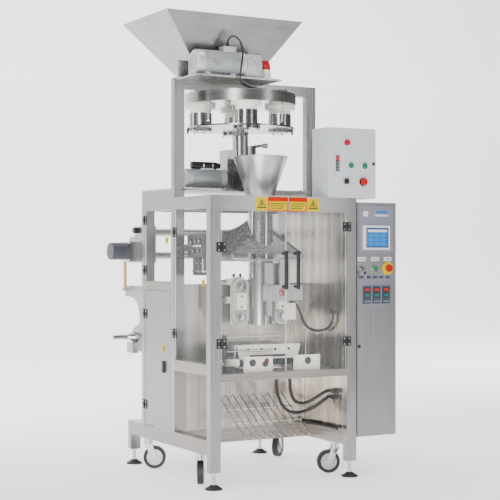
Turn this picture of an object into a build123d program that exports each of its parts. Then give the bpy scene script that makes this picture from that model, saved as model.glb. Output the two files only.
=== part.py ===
from build123d import *
import math
import os

# Vertical form fill sealer with a rotary cup filler on top.
# Millimetres, +Z up, +X to the operator's right, +Y towards the film roll at the back.
# The pieces are drawn from the frame's front left floor corner, then all of them are moved
# so that the origin lies on the floor under the middle of the whole machine.

# ---- Driving dimensions: frame ---------------------------------------------------------
seam = 0.2                 # root gap between neighbouring frame members and sheets
seat_gap = 0.3             # gap between curved or loosely seated pieces
running = 0.05             # radial clearance of a shaft that turns or slides in its hole
frame_width = 888.0
frame_height = 1500.0
tall_height = frame_height + 640.0     # top of the filler portal
post_width = 60.0
post_depth = 40.0
tube_wall = 3.0
tall_front = 413.0         # front face of the portal posts
rear_front = 787.0         # front face of the rear posts
base_back = 1015.0         # back end of the base beams
post_foot = 92.0           # underside of the front posts
base_low = 173.0
base_high = 249.0
rail_height = 64.0         # top side rails
header_height = 80.0       # front header
portal_height = 57.0       # beam across the portal
mid_low = 546.0            # front rail under the jaw shelf
mid_high = 585.0
side_mid_low = 577.0
side_mid_high = 635.0
waist_low = 1000.0         # side rails above the steel door
waist_high = 1050.0
deck_rail_height = 40.0    # rails that carry the filler deck
sheet = 2.0
back_panel_top = 1037.0

left_inner = post_width
right_inner = frame_width - post_width
tall_back = tall_front + post_depth
rear_back = rear_front + post_depth
rail_low = frame_height - rail_height
header_low = frame_height - header_height
portal_low = tall_height - portal_height
sides = ((0.0, post_width), (right_inner, frame_width))

# ---- Driving dimensions: wheels and feet -----------------------------------------------
wheel_dia = 125.0
wheel_width = 32.0
wheel_axle_dia = 12.0
caster_trail = 35.0
caster_plate = 5.0
caster_head_dia = 50.0
caster_head_height = 26.0
fork_wall = 4.0
fork_gap = 2.0             # each side, between wheel and fork
front_caster_y = 170.0
rear_caster_y = 804.0
foot_dia = 90.0
foot_neck_dia = 34.0
foot_lip = 8.0
foot_pad_height = 24.0
stud_dia = 16.0
foot_plate = 6.0

# ---- Driving dimensions: forming set ----------------------------------------------------
tube_x = 444.0
tube_y = 268.0
tube_dia = 133.0
forming_wall = 2.0
tube_low = 821.0
tube_top = frame_height - 37.0
funnel_dia = 300.0
funnel_top = frame_height + 225.0
funnel_neck_low = frame_height - 65.0
funnel_cone_low = frame_height - 25.0
funnel_overhang = 8.5      # of the funnel's flange past the tube's top
funnel_flange = 4.0
neck_clearance = 1.5
collar_low = frame_height - 312.0
collar_front_z = frame_height - 256.0    # lowest point of the neck line, at the front
collar_back_z = frame_height - 100.0     # highest point of the neck line, at the back
collar_left = 209.0
collar_right = 640.0
collar_front = 140.0
collar_back = 404.0
collar_gap = 3.0           # film gap between tube and collar
collar_wall = 3.0
bracket_plate = 12.0
hanger = 10.0
carrier_low = 900.0

# ---- Driving dimensions: filler ----------------------------------------------------------
deck_front = 380.0
deck_thick = 12.0
column_x = 444.0
column_y = 490.0
column_dia = 87.0
column_wall = 6.0
shaft_dia = 50.0
gearbox_top = frame_height + 180.0
column_top = frame_height + 350.0
cup_count = 4
cup_first_angle = -21.0    # from the front, about the column
cup_circle = 222.0
cup_dia = 125.0
cup_wall = 1.5
cup_low = frame_height + 397.0
cup_top = frame_height + 475.0
cup_slide = 2.0            # clearance of each cup round its neck
neck_wall = 6.0
neck_low = frame_height + 445.0
cup_flange_dia = 167.0
cup_flange = 20.0
drum_dia = 616.0
drum_low = frame_height + 522.0
drum_top = frame_height + 580.0
drum_wall = 3.0
drum_floor = 6.0
drum_hub_dia = 90.0
carrier_ring_dia = 600.0
carrier_plate_thick = 8.0
volume_travel = 14.0
filler_motor_z = frame_height + 111.0
filler_motor_y = 485.0
filler_motor_left = 89.0
filler_motor_right = 328.0
filler_motor_dia = 104.0
gearbox_left = 330.0
gearbox_right = 510.0
gearbox_depth = 110.0

# ---- Driving dimensions: hopper and leveller ---------------------------------------------
hopper_top = tall_height + 325.0
hopper_low = tall_height + 10.0
hopper_left = -140.0
hopper_right = 680.0
hopper_front = 215.0
hopper_back = 775.0
outlet_left = 120.0
outlet_right = 450.0
outlet_front = 345.0
outlet_back = 585.0
hopper_wall = 2.0
spout_left = 220.0
spout_right = 350.0
spout_front = 465.0
spout_back = 575.0
spout_low = drum_top - 30.0
motor_shelf = 10.0
motor_shelf_top = tall_height - 4.0
motor_shelf_front = 168.0
leveller_x = (24.0, 298.0)
leveller_y = 238.0
leveller_dia = 132.0
leveller_gap = 4.0         # height of the motor's feet
leveller_gear_right = 412.0
beacon_x = 466.0
beacon_y = 250.0
beacon_dia = 57.0

# ---- Driving dimensions: cabinet and control box ------------------------------------------
cabinet_gap = 6.0          # between the frame and the cabinet
cabinet_width = 254.0
cabinet_low = 212.0
cabinet_top = frame_height - 22.0
cabinet_back = 420.0
box_left = frame_width - 177.0
box_width = 303.0
box_height = 376.0
box_back = 165.0
case_wall = 2.0
door_depth = 18.0
door_gap = 2.0
hinge_dia = 8.0
panel_knob_z = 1121.0
bezel_depth = 8.0
button_stroke = 4.0
cabinet_left = frame_width + cabinet_gap
cabinet_right = cabinet_left + cabinet_width
stop_x = cabinet_left + 198.0
start_x = cabinet_left + 115.0
key_x = cabinet_left + 27.0
controller_width = 48.0
controller_height = 96.0
controller_step = 62.5
controller_first_x = cabinet_left + 60.0
controller_z = 977.0

# ---- Driving dimensions: guard doors ---------------------------------------------------------
acrylic = 6.0
guard_gap = 3.0
leaf = 22.0                # width of one hinge leaf
leaf_height = 50.0
leaf_thick = 4.0
pin_out = 6.0              # hinge pin axis in front of the frame's face
pin_dia = 7.0
guard_split = 447.0        # where the two front doors meet
handle_height = 200.0
handle_dia = 20.0
handle_stand = 36.0
left_handle_x = 427.0
right_handle_x = 500.0
handle_z = 1115.0
front_hinges_left = (741.0, 1234.0)
front_hinges_right = (732.0, 1345.0)
side_front_hinges = (776.0, 1315.0)
side_rear_hinges = (1110.0, 1387.0)
steel_hinges = (363.0, 867.0)
steel_door_low = 252.0
steel_door_high = 997.0

# ---- Driving dimensions: sealing and film -------------------------------------------------------
jaw_travel = 28.0
jaw_clear = 30.0           # from the film plane to each open jaw face
jaw_half = 145.0           # half length of a jaw face
rod_left_x = 279.0
rod_right_x = 616.0
guide_rod_dia = 25.0
guide_rod_z = 632.0
belt_travel = 14.0
belt_reach = 17.0          # from each open belt to the forming tube
belt_radius = 43.0
belt_thick = 6.0
belt_width = 40.0
belt_low_z = 860.0
belt_high_z = 1028.0
sealer_travel = 9.0
sealer_gap = 11.0
roll_y = 1050.0
roll_z = 722.0
roll_dia = 60.0
roll_end_dia = 26.0
side_plate = 10.0
side_plate_left = post_width
roller_dia = 40.0
unwind_z = 1215.0
unwind_dia = 97.0

axis_planes = {"X": Plane.YZ, "Y": Plane.ZX, "Z": Plane.XY}


# ---- Helpers: each one adds to the part that is being built ----------------------------------------
def mid(span):
    """Middle of a pair of limits."""
    return (span[0] + span[1]) / 2


def size(span):
    """Length of a pair of limits."""
    return span[1] - span[0]


def about(centre, width):
    """A pair of limits round a centre."""
    return (centre - width / 2, centre + width / 2)


def bar(x, y, z, along="Z", wall=0.0, corner=0.0, mode=Mode.ADD):
    """A rectangular bar between three pairs of limits, or a tube if it has a wall."""
    across, up, run = {"X": (y, z, x), "Y": (z, x, y), "Z": (x, y, z)}[along]
    with BuildSketch(axis_planes[along].offset(run[0])) as profile:
        with Locations((mid(across), mid(up))):
            if corner:
                RectangleRounded(size(across), size(up), corner)
            else:
                Rectangle(size(across), size(up))
            if wall:
                Rectangle(size(across) - 2 * wall, size(up) - 2 * wall, mode=Mode.SUBTRACT)
    extrude(profile.sketch, amount=size(run), mode=mode)


def rod(along, centre, run, dia, bore=0.0, mode=Mode.ADD):
    """A round bar or tube. The centre is given in the order of the plane across its axis."""
    with BuildSketch(axis_planes[along].offset(run[0])) as profile:
        with Locations(centre):
            Circle(dia / 2)
            if bore:
                Circle(bore / 2, mode=Mode.SUBTRACT)
    extrude(profile.sketch, amount=size(run), mode=mode)


def taper(centre, low, high, low_size, high_size, mode=Mode.ADD):
    """A four-sided frustum: centres and sizes at two heights."""
    with BuildSketch(Plane.XY.offset(low)) as bottom:
        with Locations(centre[0]):
            Rectangle(*low_size)
    with BuildSketch(Plane.XY.offset(high)) as top:
        with Locations(centre[1]):
            Rectangle(*high_size)
    loft([bottom.sketch, top.sketch], ruled=True, mode=mode)


def cone(centre, low, high, low_dia, high_dia, mode=Mode.ADD):
    """A round frustum between two heights."""
    with BuildSketch(Plane.XY.offset(low)) as bottom:
        with Locations(centre):
            Circle(low_dia / 2)
    with BuildSketch(Plane.XY.offset(high)) as top:
        with Locations(centre):
            Circle(high_dia / 2)
    loft([bottom.sketch, top.sketch], ruled=True, mode=mode)


def plate_yz(x, points):
    """A flat plate across X from an outline of (Y, Z) points."""
    with BuildSketch(Plane.YZ.offset(x[0])) as profile:
        with BuildLine():
            Polyline(*points, close=True)
        make_face()
    extrude(profile.sketch, amount=size(x))


# ---- Frame ------------------------------------------------------------------------------------------
with BuildPart() as frame_posts:
    for side in sides:
        bar(side, (0, post_depth), (post_foot, frame_height), wall=tube_wall)
        bar(side, (0, post_depth), (post_foot - foot_plate, post_foot - seam))
        bar(side, (tall_front, tall_back), (base_high + seam, rail_low - seam), wall=tube_wall)
        bar(side, (tall_front, tall_back), (frame_height + seam, tall_height), wall=tube_wall)
        bar(side, (rear_front, rear_back), (base_high + seam, rail_low - seam), wall=tube_wall)
        rear_leg_top = base_low - seam
        bar(side, (base_back - post_depth, base_back), (post_foot, rear_leg_top), wall=tube_wall)
        bar(side, (base_back - post_depth, base_back), (post_foot - foot_plate, post_foot - seam))

cross_x = (left_inner + seam, right_inner - seam)
with BuildPart() as frame_beams:
    for side in sides:
        bar(side, (post_depth + seam, base_back), (base_low, base_high), "Y", tube_wall)
        bar(side, (post_depth + seam, rear_back), (rail_low, frame_height), "Y", tube_wall)
        bar(side, (post_depth + seam, tall_front - seam), (side_mid_low, side_mid_high), "Y", tube_wall)
        bar(side, (tall_back + seam, rear_front - seam), (waist_low, waist_high), "Y", tube_wall)
        deck_rail_z = (frame_height + seam, frame_height + deck_rail_height)
        bar(side, (tall_back + seam, rear_back), deck_rail_z, "Y", tube_wall)
    for beam_y in ((tall_front, tall_back), (base_back - post_depth, base_back)):
        bar(cross_x, beam_y, (base_low, base_high), "X", tube_wall)
    bar(cross_x, (0, post_depth), (header_low, frame_height), "X", tube_wall)
    bar(cross_x, (0, post_depth), (mid_low, mid_high), "X", tube_wall)
    bar(cross_x, (tall_front, tall_back), (rail_low, frame_height), "X", tube_wall)
    bar(cross_x, (rear_front, rear_back), (rail_low, frame_height), "X", tube_wall)
    bar(cross_x, (tall_front, tall_back), (portal_low, tall_height), "X", tube_wall)

chute_x = (330.0, 560.0)
chute_y = (222.0, 346.0)
shelf_y = (post_depth + seam, tall_front - seam)
shelf_z = (mid_high - 6.0, mid_high)
panel_x = (right_inner - seam - sheet, right_inner - seam)
panel_y = (tall_front + 7.0, tall_front + 7.0 + sheet)
with BuildPart() as inner_panels:
    bar((cross_x[0], panel_x[0] - seam), panel_y, (base_high + seam, back_panel_top))
    bar(panel_x, shelf_y, (shelf_z[1] + seam, rail_low))
    bar(panel_x, shelf_y, (base_high, shelf_z[0] - seam))
    bar(panel_x, (tall_back + seam, rear_front), (base_high, rail_low))
    bar(cross_x, shelf_y, shelf_z)
    bar(chute_x, chute_y, shelf_z, mode=Mode.SUBTRACT)

with BuildPart() as levelling_feet:
    foot_stud_top = post_foot - foot_plate
    for side in sides:
        for foot_y in (post_depth / 2, base_back - post_depth / 2):
            foot = (mid(side), foot_y)
            rod("Z", foot, (0, foot_lip), foot_dia)
            cone(foot, foot_lip, foot_pad_height, foot_dia - foot_lip, foot_neck_dia)
            rod("Z", foot, (foot_pad_height, foot_stud_top), stud_dia)


# ---- Casters -----------------------------------------------------------------------------------------
def caster_plane(swivel, heading):
    """Plane at the swivel axis whose X points from the axis to the trailing wheel."""
    return Plane(origin=(swivel[0], swivel[1], 0), x_dir=(math.cos(heading), math.sin(heading), 0))


def wheel_plane(swivel, heading):
    """Plane through the wheel's middle, across its axle."""
    hub_x = swivel[0] + caster_trail * math.cos(heading)
    hub_y = swivel[1] + caster_trail * math.sin(heading)
    trailing = (math.cos(heading), math.sin(heading), 0)
    axle = (math.sin(heading), -math.cos(heading), 0)
    return Plane(origin=(hub_x, hub_y, wheel_dia / 2), x_dir=trailing, z_dir=axle)


def caster_fork_piece(swivel, heading):
    """Top plate, swivel head and two fork legs with the axle bolt."""
    top = base_low - seam
    crown_low = wheel_dia + 8.0
    head_top = top - caster_plate
    leg_in = wheel_width / 2 + fork_gap
    with BuildPart() as fork:
        with BuildSketch(Plane.XY.offset(head_top)):
            with Locations(swivel):
                Rectangle(post_width - 4.0, 90.0)
        extrude(amount=caster_plate)
        with BuildSketch(Plane.XY.offset(crown_low)):
            with Locations(swivel):
                Circle(caster_head_dia / 2)
        extrude(amount=head_top - crown_low)
        flank = wheel_plane(swivel, heading)
        for start in (leg_in, -leg_in - fork_wall):
            with BuildSketch(flank.offset(start)):
                with BuildLine():
                    leg_top = crown_low + 6.0 - wheel_dia / 2
                    Polyline((-14, -8), (14, -8), (22 - caster_trail, leg_top), (-22 - caster_trail, leg_top), close=True)
                make_face()
            extrude(amount=fork_wall)
        with BuildSketch(caster_plane(swivel, heading).offset(crown_low)):
            Rectangle(44.0, 2 * (leg_in + fork_wall))
        extrude(amount=6.0)
        with BuildSketch(flank.offset(-leg_in - fork_wall - 4.0)):
            Circle(wheel_axle_dia / 2)
        extrude(amount=2 * (leg_in + fork_wall + 4.0))
    return fork


def caster_wheel_piece(swivel, heading):
    """Tyre and hub turned about the axle."""
    middle = wheel_plane(swivel, heading)
    with BuildPart() as wheel:
        with BuildSketch(middle.offset(-wheel_width / 2)):
            Circle(wheel_dia / 2)
            Circle(wheel_axle_dia / 2 + running, mode=Mode.SUBTRACT)
        extrude(amount=wheel_width)
        for start, deep in ((-wheel_width / 2, 6.0), (wheel_width / 2 - 6.0, 6.0)):
            with BuildSketch(middle.offset(start)):
                Circle(wheel_dia / 2 - 18.0)
                Circle(20.0, mode=Mode.SUBTRACT)
            extrude(amount=deep, mode=Mode.SUBTRACT)
    return wheel


caster_places = {
    "front_left": ((mid(sides[0]), front_caster_y), math.radians(60.0)),
    "front_right": ((mid(sides[1]), front_caster_y), math.radians(160.0)),
    "rear_left": ((mid(sides[0]), rear_caster_y), math.radians(-28.0)),
    "rear_right": ((mid(sides[1]), rear_caster_y), math.radians(40.0)),
}


# ---- Forming set ---------------------------------------------------------------------------------------
tube_axis = (tube_x, tube_y)
tube_bore = tube_dia - 2 * forming_wall
neck_dia_out = tube_bore - 2 * neck_clearance
with BuildPart() as forming_tube:
    rod("Z", tube_axis, (tube_low, tube_top), tube_dia, tube_bore)

with BuildPart() as funnel:
    cone(tube_axis, funnel_cone_low, funnel_top, neck_dia_out, funnel_dia)
    rod("Z", tube_axis, (funnel_neck_low, funnel_cone_low), neck_dia_out)
    rod("Z", tube_axis, (tube_top, tube_top + funnel_flange), tube_dia + 2 * funnel_overhang)
    inner_neck = neck_dia_out - 2 * forming_wall
    rod("Z", tube_axis, (funnel_neck_low, funnel_cone_low), inner_neck, mode=Mode.SUBTRACT)
    cone(tube_axis, funnel_cone_low, funnel_top, inner_neck, funnel_dia - 2 * forming_wall, mode=Mode.SUBTRACT)

collar_depth = collar_back - collar_front
shoulder_drop = collar_back_z - collar_front_z
neck_width = tube_dia + 2 * collar_gap
neck_tilt = math.atan2(shoulder_drop, neck_width)
brim_rise = 110.0          # how much the collar's outer edge climbs towards the back
brim_tilt = math.atan2(brim_rise, collar_depth)
brim_middle = ((collar_left + collar_right) / 2, mid((collar_front, collar_back)))
brim_middle_z = collar_low + 12.0 + brim_rise / 2


def collar_body(drop, mode):
    """The collar's shoulder as a solid, from its brim up to the tilted neck line."""
    brim = Plane(origin=(*brim_middle, brim_middle_z - drop), x_dir=(1, 0, 0),
                 z_dir=(0, -math.sin(brim_tilt), math.cos(brim_tilt)))
    neck = Plane(origin=(tube_x, tube_y, (collar_front_z + collar_back_z) / 2 - drop), x_dir=(1, 0, 0),
                 z_dir=(0, -math.sin(neck_tilt), math.cos(neck_tilt)))
    with BuildSketch(brim) as brim_outline:
        RectangleRounded(collar_right - collar_left, collar_depth / math.cos(brim_tilt), 20.0)
    with BuildSketch(neck) as neck_outline:
        Ellipse(neck_width / 2 + collar_wall, neck_width / 2 / math.cos(neck_tilt) + collar_wall)
    loft([brim_outline.sketch, neck_outline.sketch], ruled=True, mode=mode)


with BuildPart() as forming_collar:
    collar_body(0, Mode.ADD)
    collar_body(2 * collar_wall, Mode.SUBTRACT)
    rod("Z", tube_axis, (collar_low - 20.0, collar_back_z + 20.0), neck_width, mode=Mode.SUBTRACT)

hanger_left = (collar_left - 2.0 - hanger, collar_left - 2.0)
hanger_right = (collar_right + 2.0, collar_right + 2.0 + hanger)
belt_rods_z = (belt_low_z + 90.0, belt_high_z + 22.0)
belt_rod_dia = 20.0
belt_rod_y = tube_y + tube_dia / 2 + belt_rod_dia / 2 + 4.0
hanger_front = belt_rod_y - 14.0
bracket_z = (collar_low - 16.0 - bracket_plate, collar_low - 16.0)
bracket_front = collar_front - 22.0
cheek_y = (collar_front + 20.0, collar_back - 20.0)
cheek_top = [brim_middle_z + (y - brim_middle[1]) * math.tan(brim_tilt) - seat_gap for y in cheek_y]
sealer_front = bracket_front + 2.0
sealer_plate = 12.0
sealer_pin_x = tube_x + 56.0
sealer_pins_z = (1000.0, 1110.0)
sealer_pin_dia = 16.0
bar_back = tube_y - tube_dia / 2 - sealer_gap
bar_front = bar_back - 25.0
with BuildPart() as former_bracket:
    for hanger_x in (hanger_left, hanger_right):
        bar(hanger_x, (hanger_front, tall_front - seam), (carrier_low, rail_low + 40.0))
    bracket_x = (hanger_left[1] + seam, hanger_right[0] - seam)
    bar(bracket_x, (bracket_front, tall_front - 8.0), bracket_z)
    rod("Z", tube_axis, bracket_z, tube_dia + 2 * seat_gap, mode=Mode.SUBTRACT)
    for cheek in ((collar_left, collar_left + 6.0), (collar_right - 6.0, collar_right)):
        cheek_foot = bracket_z[1] + seam
        plate_yz(cheek, ((cheek_y[0], cheek_foot), (cheek_y[1], cheek_foot), (cheek_y[1], cheek_top[1]),
                         (cheek_y[0], cheek_top[0])))
    for rod_z in belt_rods_z:
        rod("X", (belt_rod_y, rod_z), bracket_x, belt_rod_dia)
    sealer_riser_x = (480.0, 541.0)
    bar((380.0, 623.0), (sealer_front, sealer_front + sealer_plate), (950.0, 1034.0))
    bar(sealer_riser_x, (sealer_front, sealer_front + sealer_plate), (1034.0 + seam, bracket_z[0] - seam))
    for pin_z in sealer_pins_z:
        rod("Y", (pin_z, sealer_pin_x), (sealer_front + sealer_plate, bar_front + 8.0), sealer_pin_dia)
    hose_gland_x = (hanger_right[1] + seam, hanger_right[1] + 18.0)
    rod("X", (360.0, 935.0), hose_gland_x, 24.0)

with BuildPart() as vertical_sealer:
    bar(about(tube_x, 30.0), (bar_front, bar_back), (870.0, 1150.0))
    bar((410.0, 541.0), (bar_front - 10.0, bar_front), (951.0, 1150.0))
    for pin_z in sealer_pins_z:
        pin_hole = sealer_pin_dia + 2 * running
        rod("Y", (pin_z, sealer_pin_x), (bar_front - 11.0, bar_front + 1.0), pin_hole, mode=Mode.SUBTRACT)


def belt_unit_piece(side):
    """Side is -1 left or +1 right: belt loop, two pulleys, back plate and sliding blocks."""
    centre = tube_x + side * (tube_dia / 2 + belt_reach + belt_radius)
    belt_y = about(tube_y, belt_width)
    plate_y = (belt_y[1] + 6.0, belt_y[1] + 14.0)
    pulley_dia = 2 * (belt_radius - belt_thick)
    loop_middle = ((belt_low_z + belt_high_z) / 2, centre)
    loop_run = belt_high_z - belt_low_z
    with BuildPart() as unit:
        for pulley_z in (belt_low_z, belt_high_z):
            rod("Y", (pulley_z, centre), belt_y, pulley_dia)
            rod("Y", (pulley_z, centre), (belt_y[0] - 8.0, plate_y[1]), 18.0)
        bar(about(centre, 76.0), plate_y, (belt_low_z - 40.0, belt_high_z + 46.0))
        for rod_z in belt_rods_z:
            bar(about(centre, 76.0), (plate_y[1], belt_rod_y + 14.0), about(rod_z, 34.0))
            slide_run = (centre - 40.0, centre + 40.0)
            slide_bore = belt_rod_dia + 2 * running
            rod("X", (belt_rod_y, rod_z), slide_run, slide_bore, mode=Mode.SUBTRACT)
        with BuildSketch(Plane.ZX.offset(belt_y[0])) as loop:
            with Locations(loop_middle):
                SlotCenterToCenter(loop_run, 2 * belt_radius)
                SlotCenterToCenter(loop_run, pulley_dia + 2 * seam, mode=Mode.SUBTRACT)
        extrude(loop.sketch, amount=belt_width)
        cover_y = (belt_y[0] - 18.0, belt_y[0] - 8.0 - seam)
        cover_z = (843.0, 932.0)
        if side > 0:
            bar((centre + 4.0, centre + 75.0), cover_y, cover_z)
        for clamp in (-20.0, 20.0):
            rod("Z", (centre + clamp, mid(plate_y)), (belt_high_z + 46.0 + seam, belt_high_z + 66.0), 14.0)
    return unit


left_belt_unit = belt_unit_piece(-1)
right_belt_unit = belt_unit_piece(1)

# ---- Cross sealing jaws ------------------------------------------------------------------------------------
support_front = (60.0, 78.0)
support_back = (392.0, 410.0)
jaw_z = (665.0, 715.0)
beam_z = (guide_rod_z - 24.0, jaw_z[1])
with BuildPart() as jaw_guides:
    for rod_x, block_x in ((rod_left_x, (235.0, 323.0)), (rod_right_x, (538.0, 694.0))):
        rod("Y", (guide_rod_z, rod_x), (support_front[1] + seam, support_back[0] - seam), guide_rod_dia)
        bar(block_x, support_front, (shelf_z[1] + seam, guide_rod_z + 30.0))
        bar(about(rod_x, 60.0), support_back, (shelf_z[1] + seam, guide_rod_z + 30.0))
    bar((330.0, 401.0), support_front, (shelf_z[1] + seam, 661.0))
    rod("X", (100.0, guide_rod_z), (118.0, 213.0), 42.0)
    bar((140.0, 190.0), (88.0, 112.0), (shelf_z[1] + seam, guide_rod_z - 15.0))
    stand_x = (163.0, 171.0)
    bar(stand_x, (140.0, 212.0), (shelf_z[1] + seam, 775.0))
    rod("X", (150.0, 687.0), (stand_x[1] + seam, 454.0), 10.0)
    rod("X", (200.0, 760.0), (stand_x[1] + seam, 526.0), 10.0)


def jaw_piece(side):
    """Side is -1 front or +1 rear: sealing bar on a cross beam that runs on the guide rods."""
    face = tube_y + side * jaw_clear
    bar_far = face + side * 32.0
    beam_far = bar_far + side * 25.0
    with BuildPart() as jaw:
        bar(about(tube_x, 2 * jaw_half), sorted((face, bar_far)), jaw_z)
        bar((rod_left_x - 28.0, rod_right_x + 28.0), sorted((bar_far, beam_far)), beam_z)
        for rod_x in (rod_left_x, rod_right_x):
            bore = guide_rod_dia + 2 * running
            rod("Y", (guide_rod_z, rod_x), (tube_y - 120.0, tube_y + 120.0), bore, mode=Mode.SUBTRACT)
    return jaw


front_jaw = jaw_piece(-1)
rear_jaw = jaw_piece(1)

# ---- Bag discharge rods ----------------------------------------------------------------------------------------
rod_count = 10
chute_dia = 8.0
chute_first_x = 270.0
chute_step = 44.0
chute_back = (panel_y[0] - 3.0, 426.0)
chute_front = (120.0, 230.0)
chute_fall = (0, chute_front[0] - chute_back[0], chute_front[1] - chute_back[1])
chute_length = math.hypot(chute_fall[1], chute_fall[2])
with BuildPart() as chute_rods:
    for index in range(rod_count):
        start = (chute_first_x + index * chute_step, *chute_back)
        with BuildSketch(Plane(origin=start, x_dir=(1, 0, 0), z_dir=chute_fall)) as chute_profile:
            Circle(chute_dia / 2)
        extrude(chute_profile.sketch, amount=chute_length)
    for share in (0.3, 0.62):
        cross_y = chute_back[0] + share * chute_fall[1] + (chute_dia + seam) * chute_fall[2] / -chute_length
        cross_z = chute_back[1] + share * chute_fall[2] - (chute_dia + seam) * chute_fall[1] / -chute_length
        cross_run = (chute_first_x - 20.0, chute_first_x + (rod_count - 1) * chute_step + 20.0)
        rod("X", (cross_y, cross_z), cross_run, chute_dia)

# ---- Filler ------------------------------------------------------------------------------------------------------------
deck_z = (frame_height + deck_rail_height + seam, frame_height + deck_rail_height + seam + deck_thick)
column_axis = (column_x, column_y)
gearbox_y = about(filler_motor_y, gearbox_depth)
cam_arm_x = (500.0, 508.0)
with BuildPart() as filler_base:
    bar((left_inner + 2 * seam, right_inner - 2 * seam), (deck_front, tall_back + 2 * seam), deck_z)
    bar((0, frame_width), (tall_back + 2 * seam, rear_back), deck_z)
    bar((gearbox_left, gearbox_right), gearbox_y, (deck_z[1] + seam, gearbox_top))
    rod("Z", column_axis, (gearbox_top + seam, column_top), column_dia, shaft_dia + 2 * running)
    bar((335.0, 395.0), (440.0, 530.0), (gearbox_top + seam, gearbox_top + 90.0))
    cam_arm_z = (gearbox_top + 105.0, gearbox_top + 120.0)
    bar(cam_arm_x, (425.0, 520.0), (gearbox_top + seam, cam_arm_z[1]))
    bar(cam_arm_x, (350.0, 425.0 - seam), cam_arm_z)
    rod("X", (350.0, mid(cam_arm_z)), (cam_arm_x[1] + seam, cam_arm_x[1] + 26.0), 26.0)

with BuildPart() as filler_motor:
    motor_centre = (filler_motor_y, filler_motor_z)
    rod("X", motor_centre, (filler_motor_left, filler_motor_right), filler_motor_dia)
    rod("X", motor_centre, (filler_motor_right, gearbox_left - seam), filler_motor_dia + 12.0)
    capacitor_z = filler_motor_z + filler_motor_dia / 2 + 18.0
    bar((180.0, 260.0), about(filler_motor_y - 20.0, 20.0), (filler_motor_z + 40.0, capacitor_z))
    rod("X", (filler_motor_y - 20.0, capacitor_z), (125.0, 300.0), 40.0)

neck_dia = cup_dia - 2 * cup_wall - 2 * cup_slide
neck_bore = neck_dia - 2 * neck_wall
cup_places = []
for index in range(cup_count):
    turn = math.radians(cup_first_angle + index * 360.0 / cup_count)
    cup_places.append((column_x + cup_circle * math.sin(turn), column_y - cup_circle * math.cos(turn)))

with BuildPart() as feed_drum:
    rod("Z", column_axis, (drum_low, drum_low + drum_floor), drum_dia)
    for cup_place in cup_places:
        rod("Z", cup_place, (drum_low, drum_low + drum_floor), neck_bore, mode=Mode.SUBTRACT)
    rod("Z", column_axis, (drum_low + drum_floor + seam, drum_top), drum_dia, drum_dia - 2 * drum_wall)
    rod("Z", column_axis, (drum_low - 32.0, drum_low), drum_hub_dia)
    rod("Z", column_axis, (gearbox_top + 6.0, drum_low - 32.0), shaft_dia)
    rod("Z", column_axis, (column_top + seat_gap, column_top + 8.0), column_dia - 6.0)

with BuildPart() as cup_collars:
    for cup_place in cup_places:
        rod("Z", cup_place, (drum_low - cup_flange, drum_low - seam), cup_flange_dia, neck_bore)
        rod("Z", cup_place, (neck_low, drum_low - cup_flange), neck_dia, neck_bore)

carrier_z = (cup_low - seam - carrier_plate_thick, cup_low - seam)
with BuildPart() as measuring_cups:
    rod("Z", column_axis, carrier_z, carrier_ring_dia, shaft_dia + 2 * running)
    rod("Z", column_axis, (carrier_z[1], carrier_z[1] + 30.0), 80.0, shaft_dia + 2 * running)
    for cup_place in cup_places:
        rod("Z", cup_place, carrier_z, neck_bore, mode=Mode.SUBTRACT)
    for cup_place in cup_places:
        rod("Z", cup_place, (cup_low, cup_top), cup_dia, cup_dia - 2 * cup_wall)
        rod("Z", cup_place, (carrier_z[0] - 8.0, carrier_z[0] - seam), neck_bore + 24.0)

# ---- Hopper and leveller ------------------------------------------------------------------------------------------------
hopper_centres = (
    ((outlet_left + outlet_right) / 2, (outlet_front + outlet_back) / 2),
    ((hopper_left + hopper_right) / 2, (hopper_front + hopper_back) / 2),
)
outlet_size = (outlet_right - outlet_left, outlet_back - outlet_front)
mouth_size = (hopper_right - hopper_left, hopper_back - hopper_front)
skin = 2 * hopper_wall
spout_x = (spout_left, spout_right)
spout_y = (spout_front, spout_back)
with BuildPart() as hopper:
    taper(hopper_centres, hopper_low, hopper_top, outlet_size, mouth_size)
    inner_outlet = (outlet_size[0] - 2 * skin, outlet_size[1] - 2 * skin)
    inner_mouth = (mouth_size[0] - 2 * skin, mouth_size[1] - 2 * skin)
    taper(hopper_centres, hopper_low, hopper_top, inner_outlet, inner_mouth, mode=Mode.SUBTRACT)
    floor_z = (hopper_low, hopper_low + hopper_wall)
    bar((outlet_left, outlet_right), (outlet_front, outlet_back), floor_z)
    bar(spout_x, spout_y, (spout_low, hopper_low))
    inner_x = (spout_left + hopper_wall, spout_right - hopper_wall)
    inner_y = (spout_front + hopper_wall, spout_back - hopper_wall)
    bar(inner_x, inner_y, (spout_low, floor_z[1]), mode=Mode.SUBTRACT)

shelf_top = motor_shelf_top
with BuildPart() as hopper_stand:
    bar((7.0, 520.0), (motor_shelf_front, tall_front - seam), (shelf_top - motor_shelf, shelf_top))
    for bar_x in ((130.0, 165.0), (400.0, 435.0)):
        bar(bar_x, (outlet_front, outlet_back), (tall_height + seam, hopper_low - seam))
    bar((-10.0, 50.0), (outlet_front, outlet_front + 6.0), (shelf_top + seam, shelf_top + 89.0))

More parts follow.
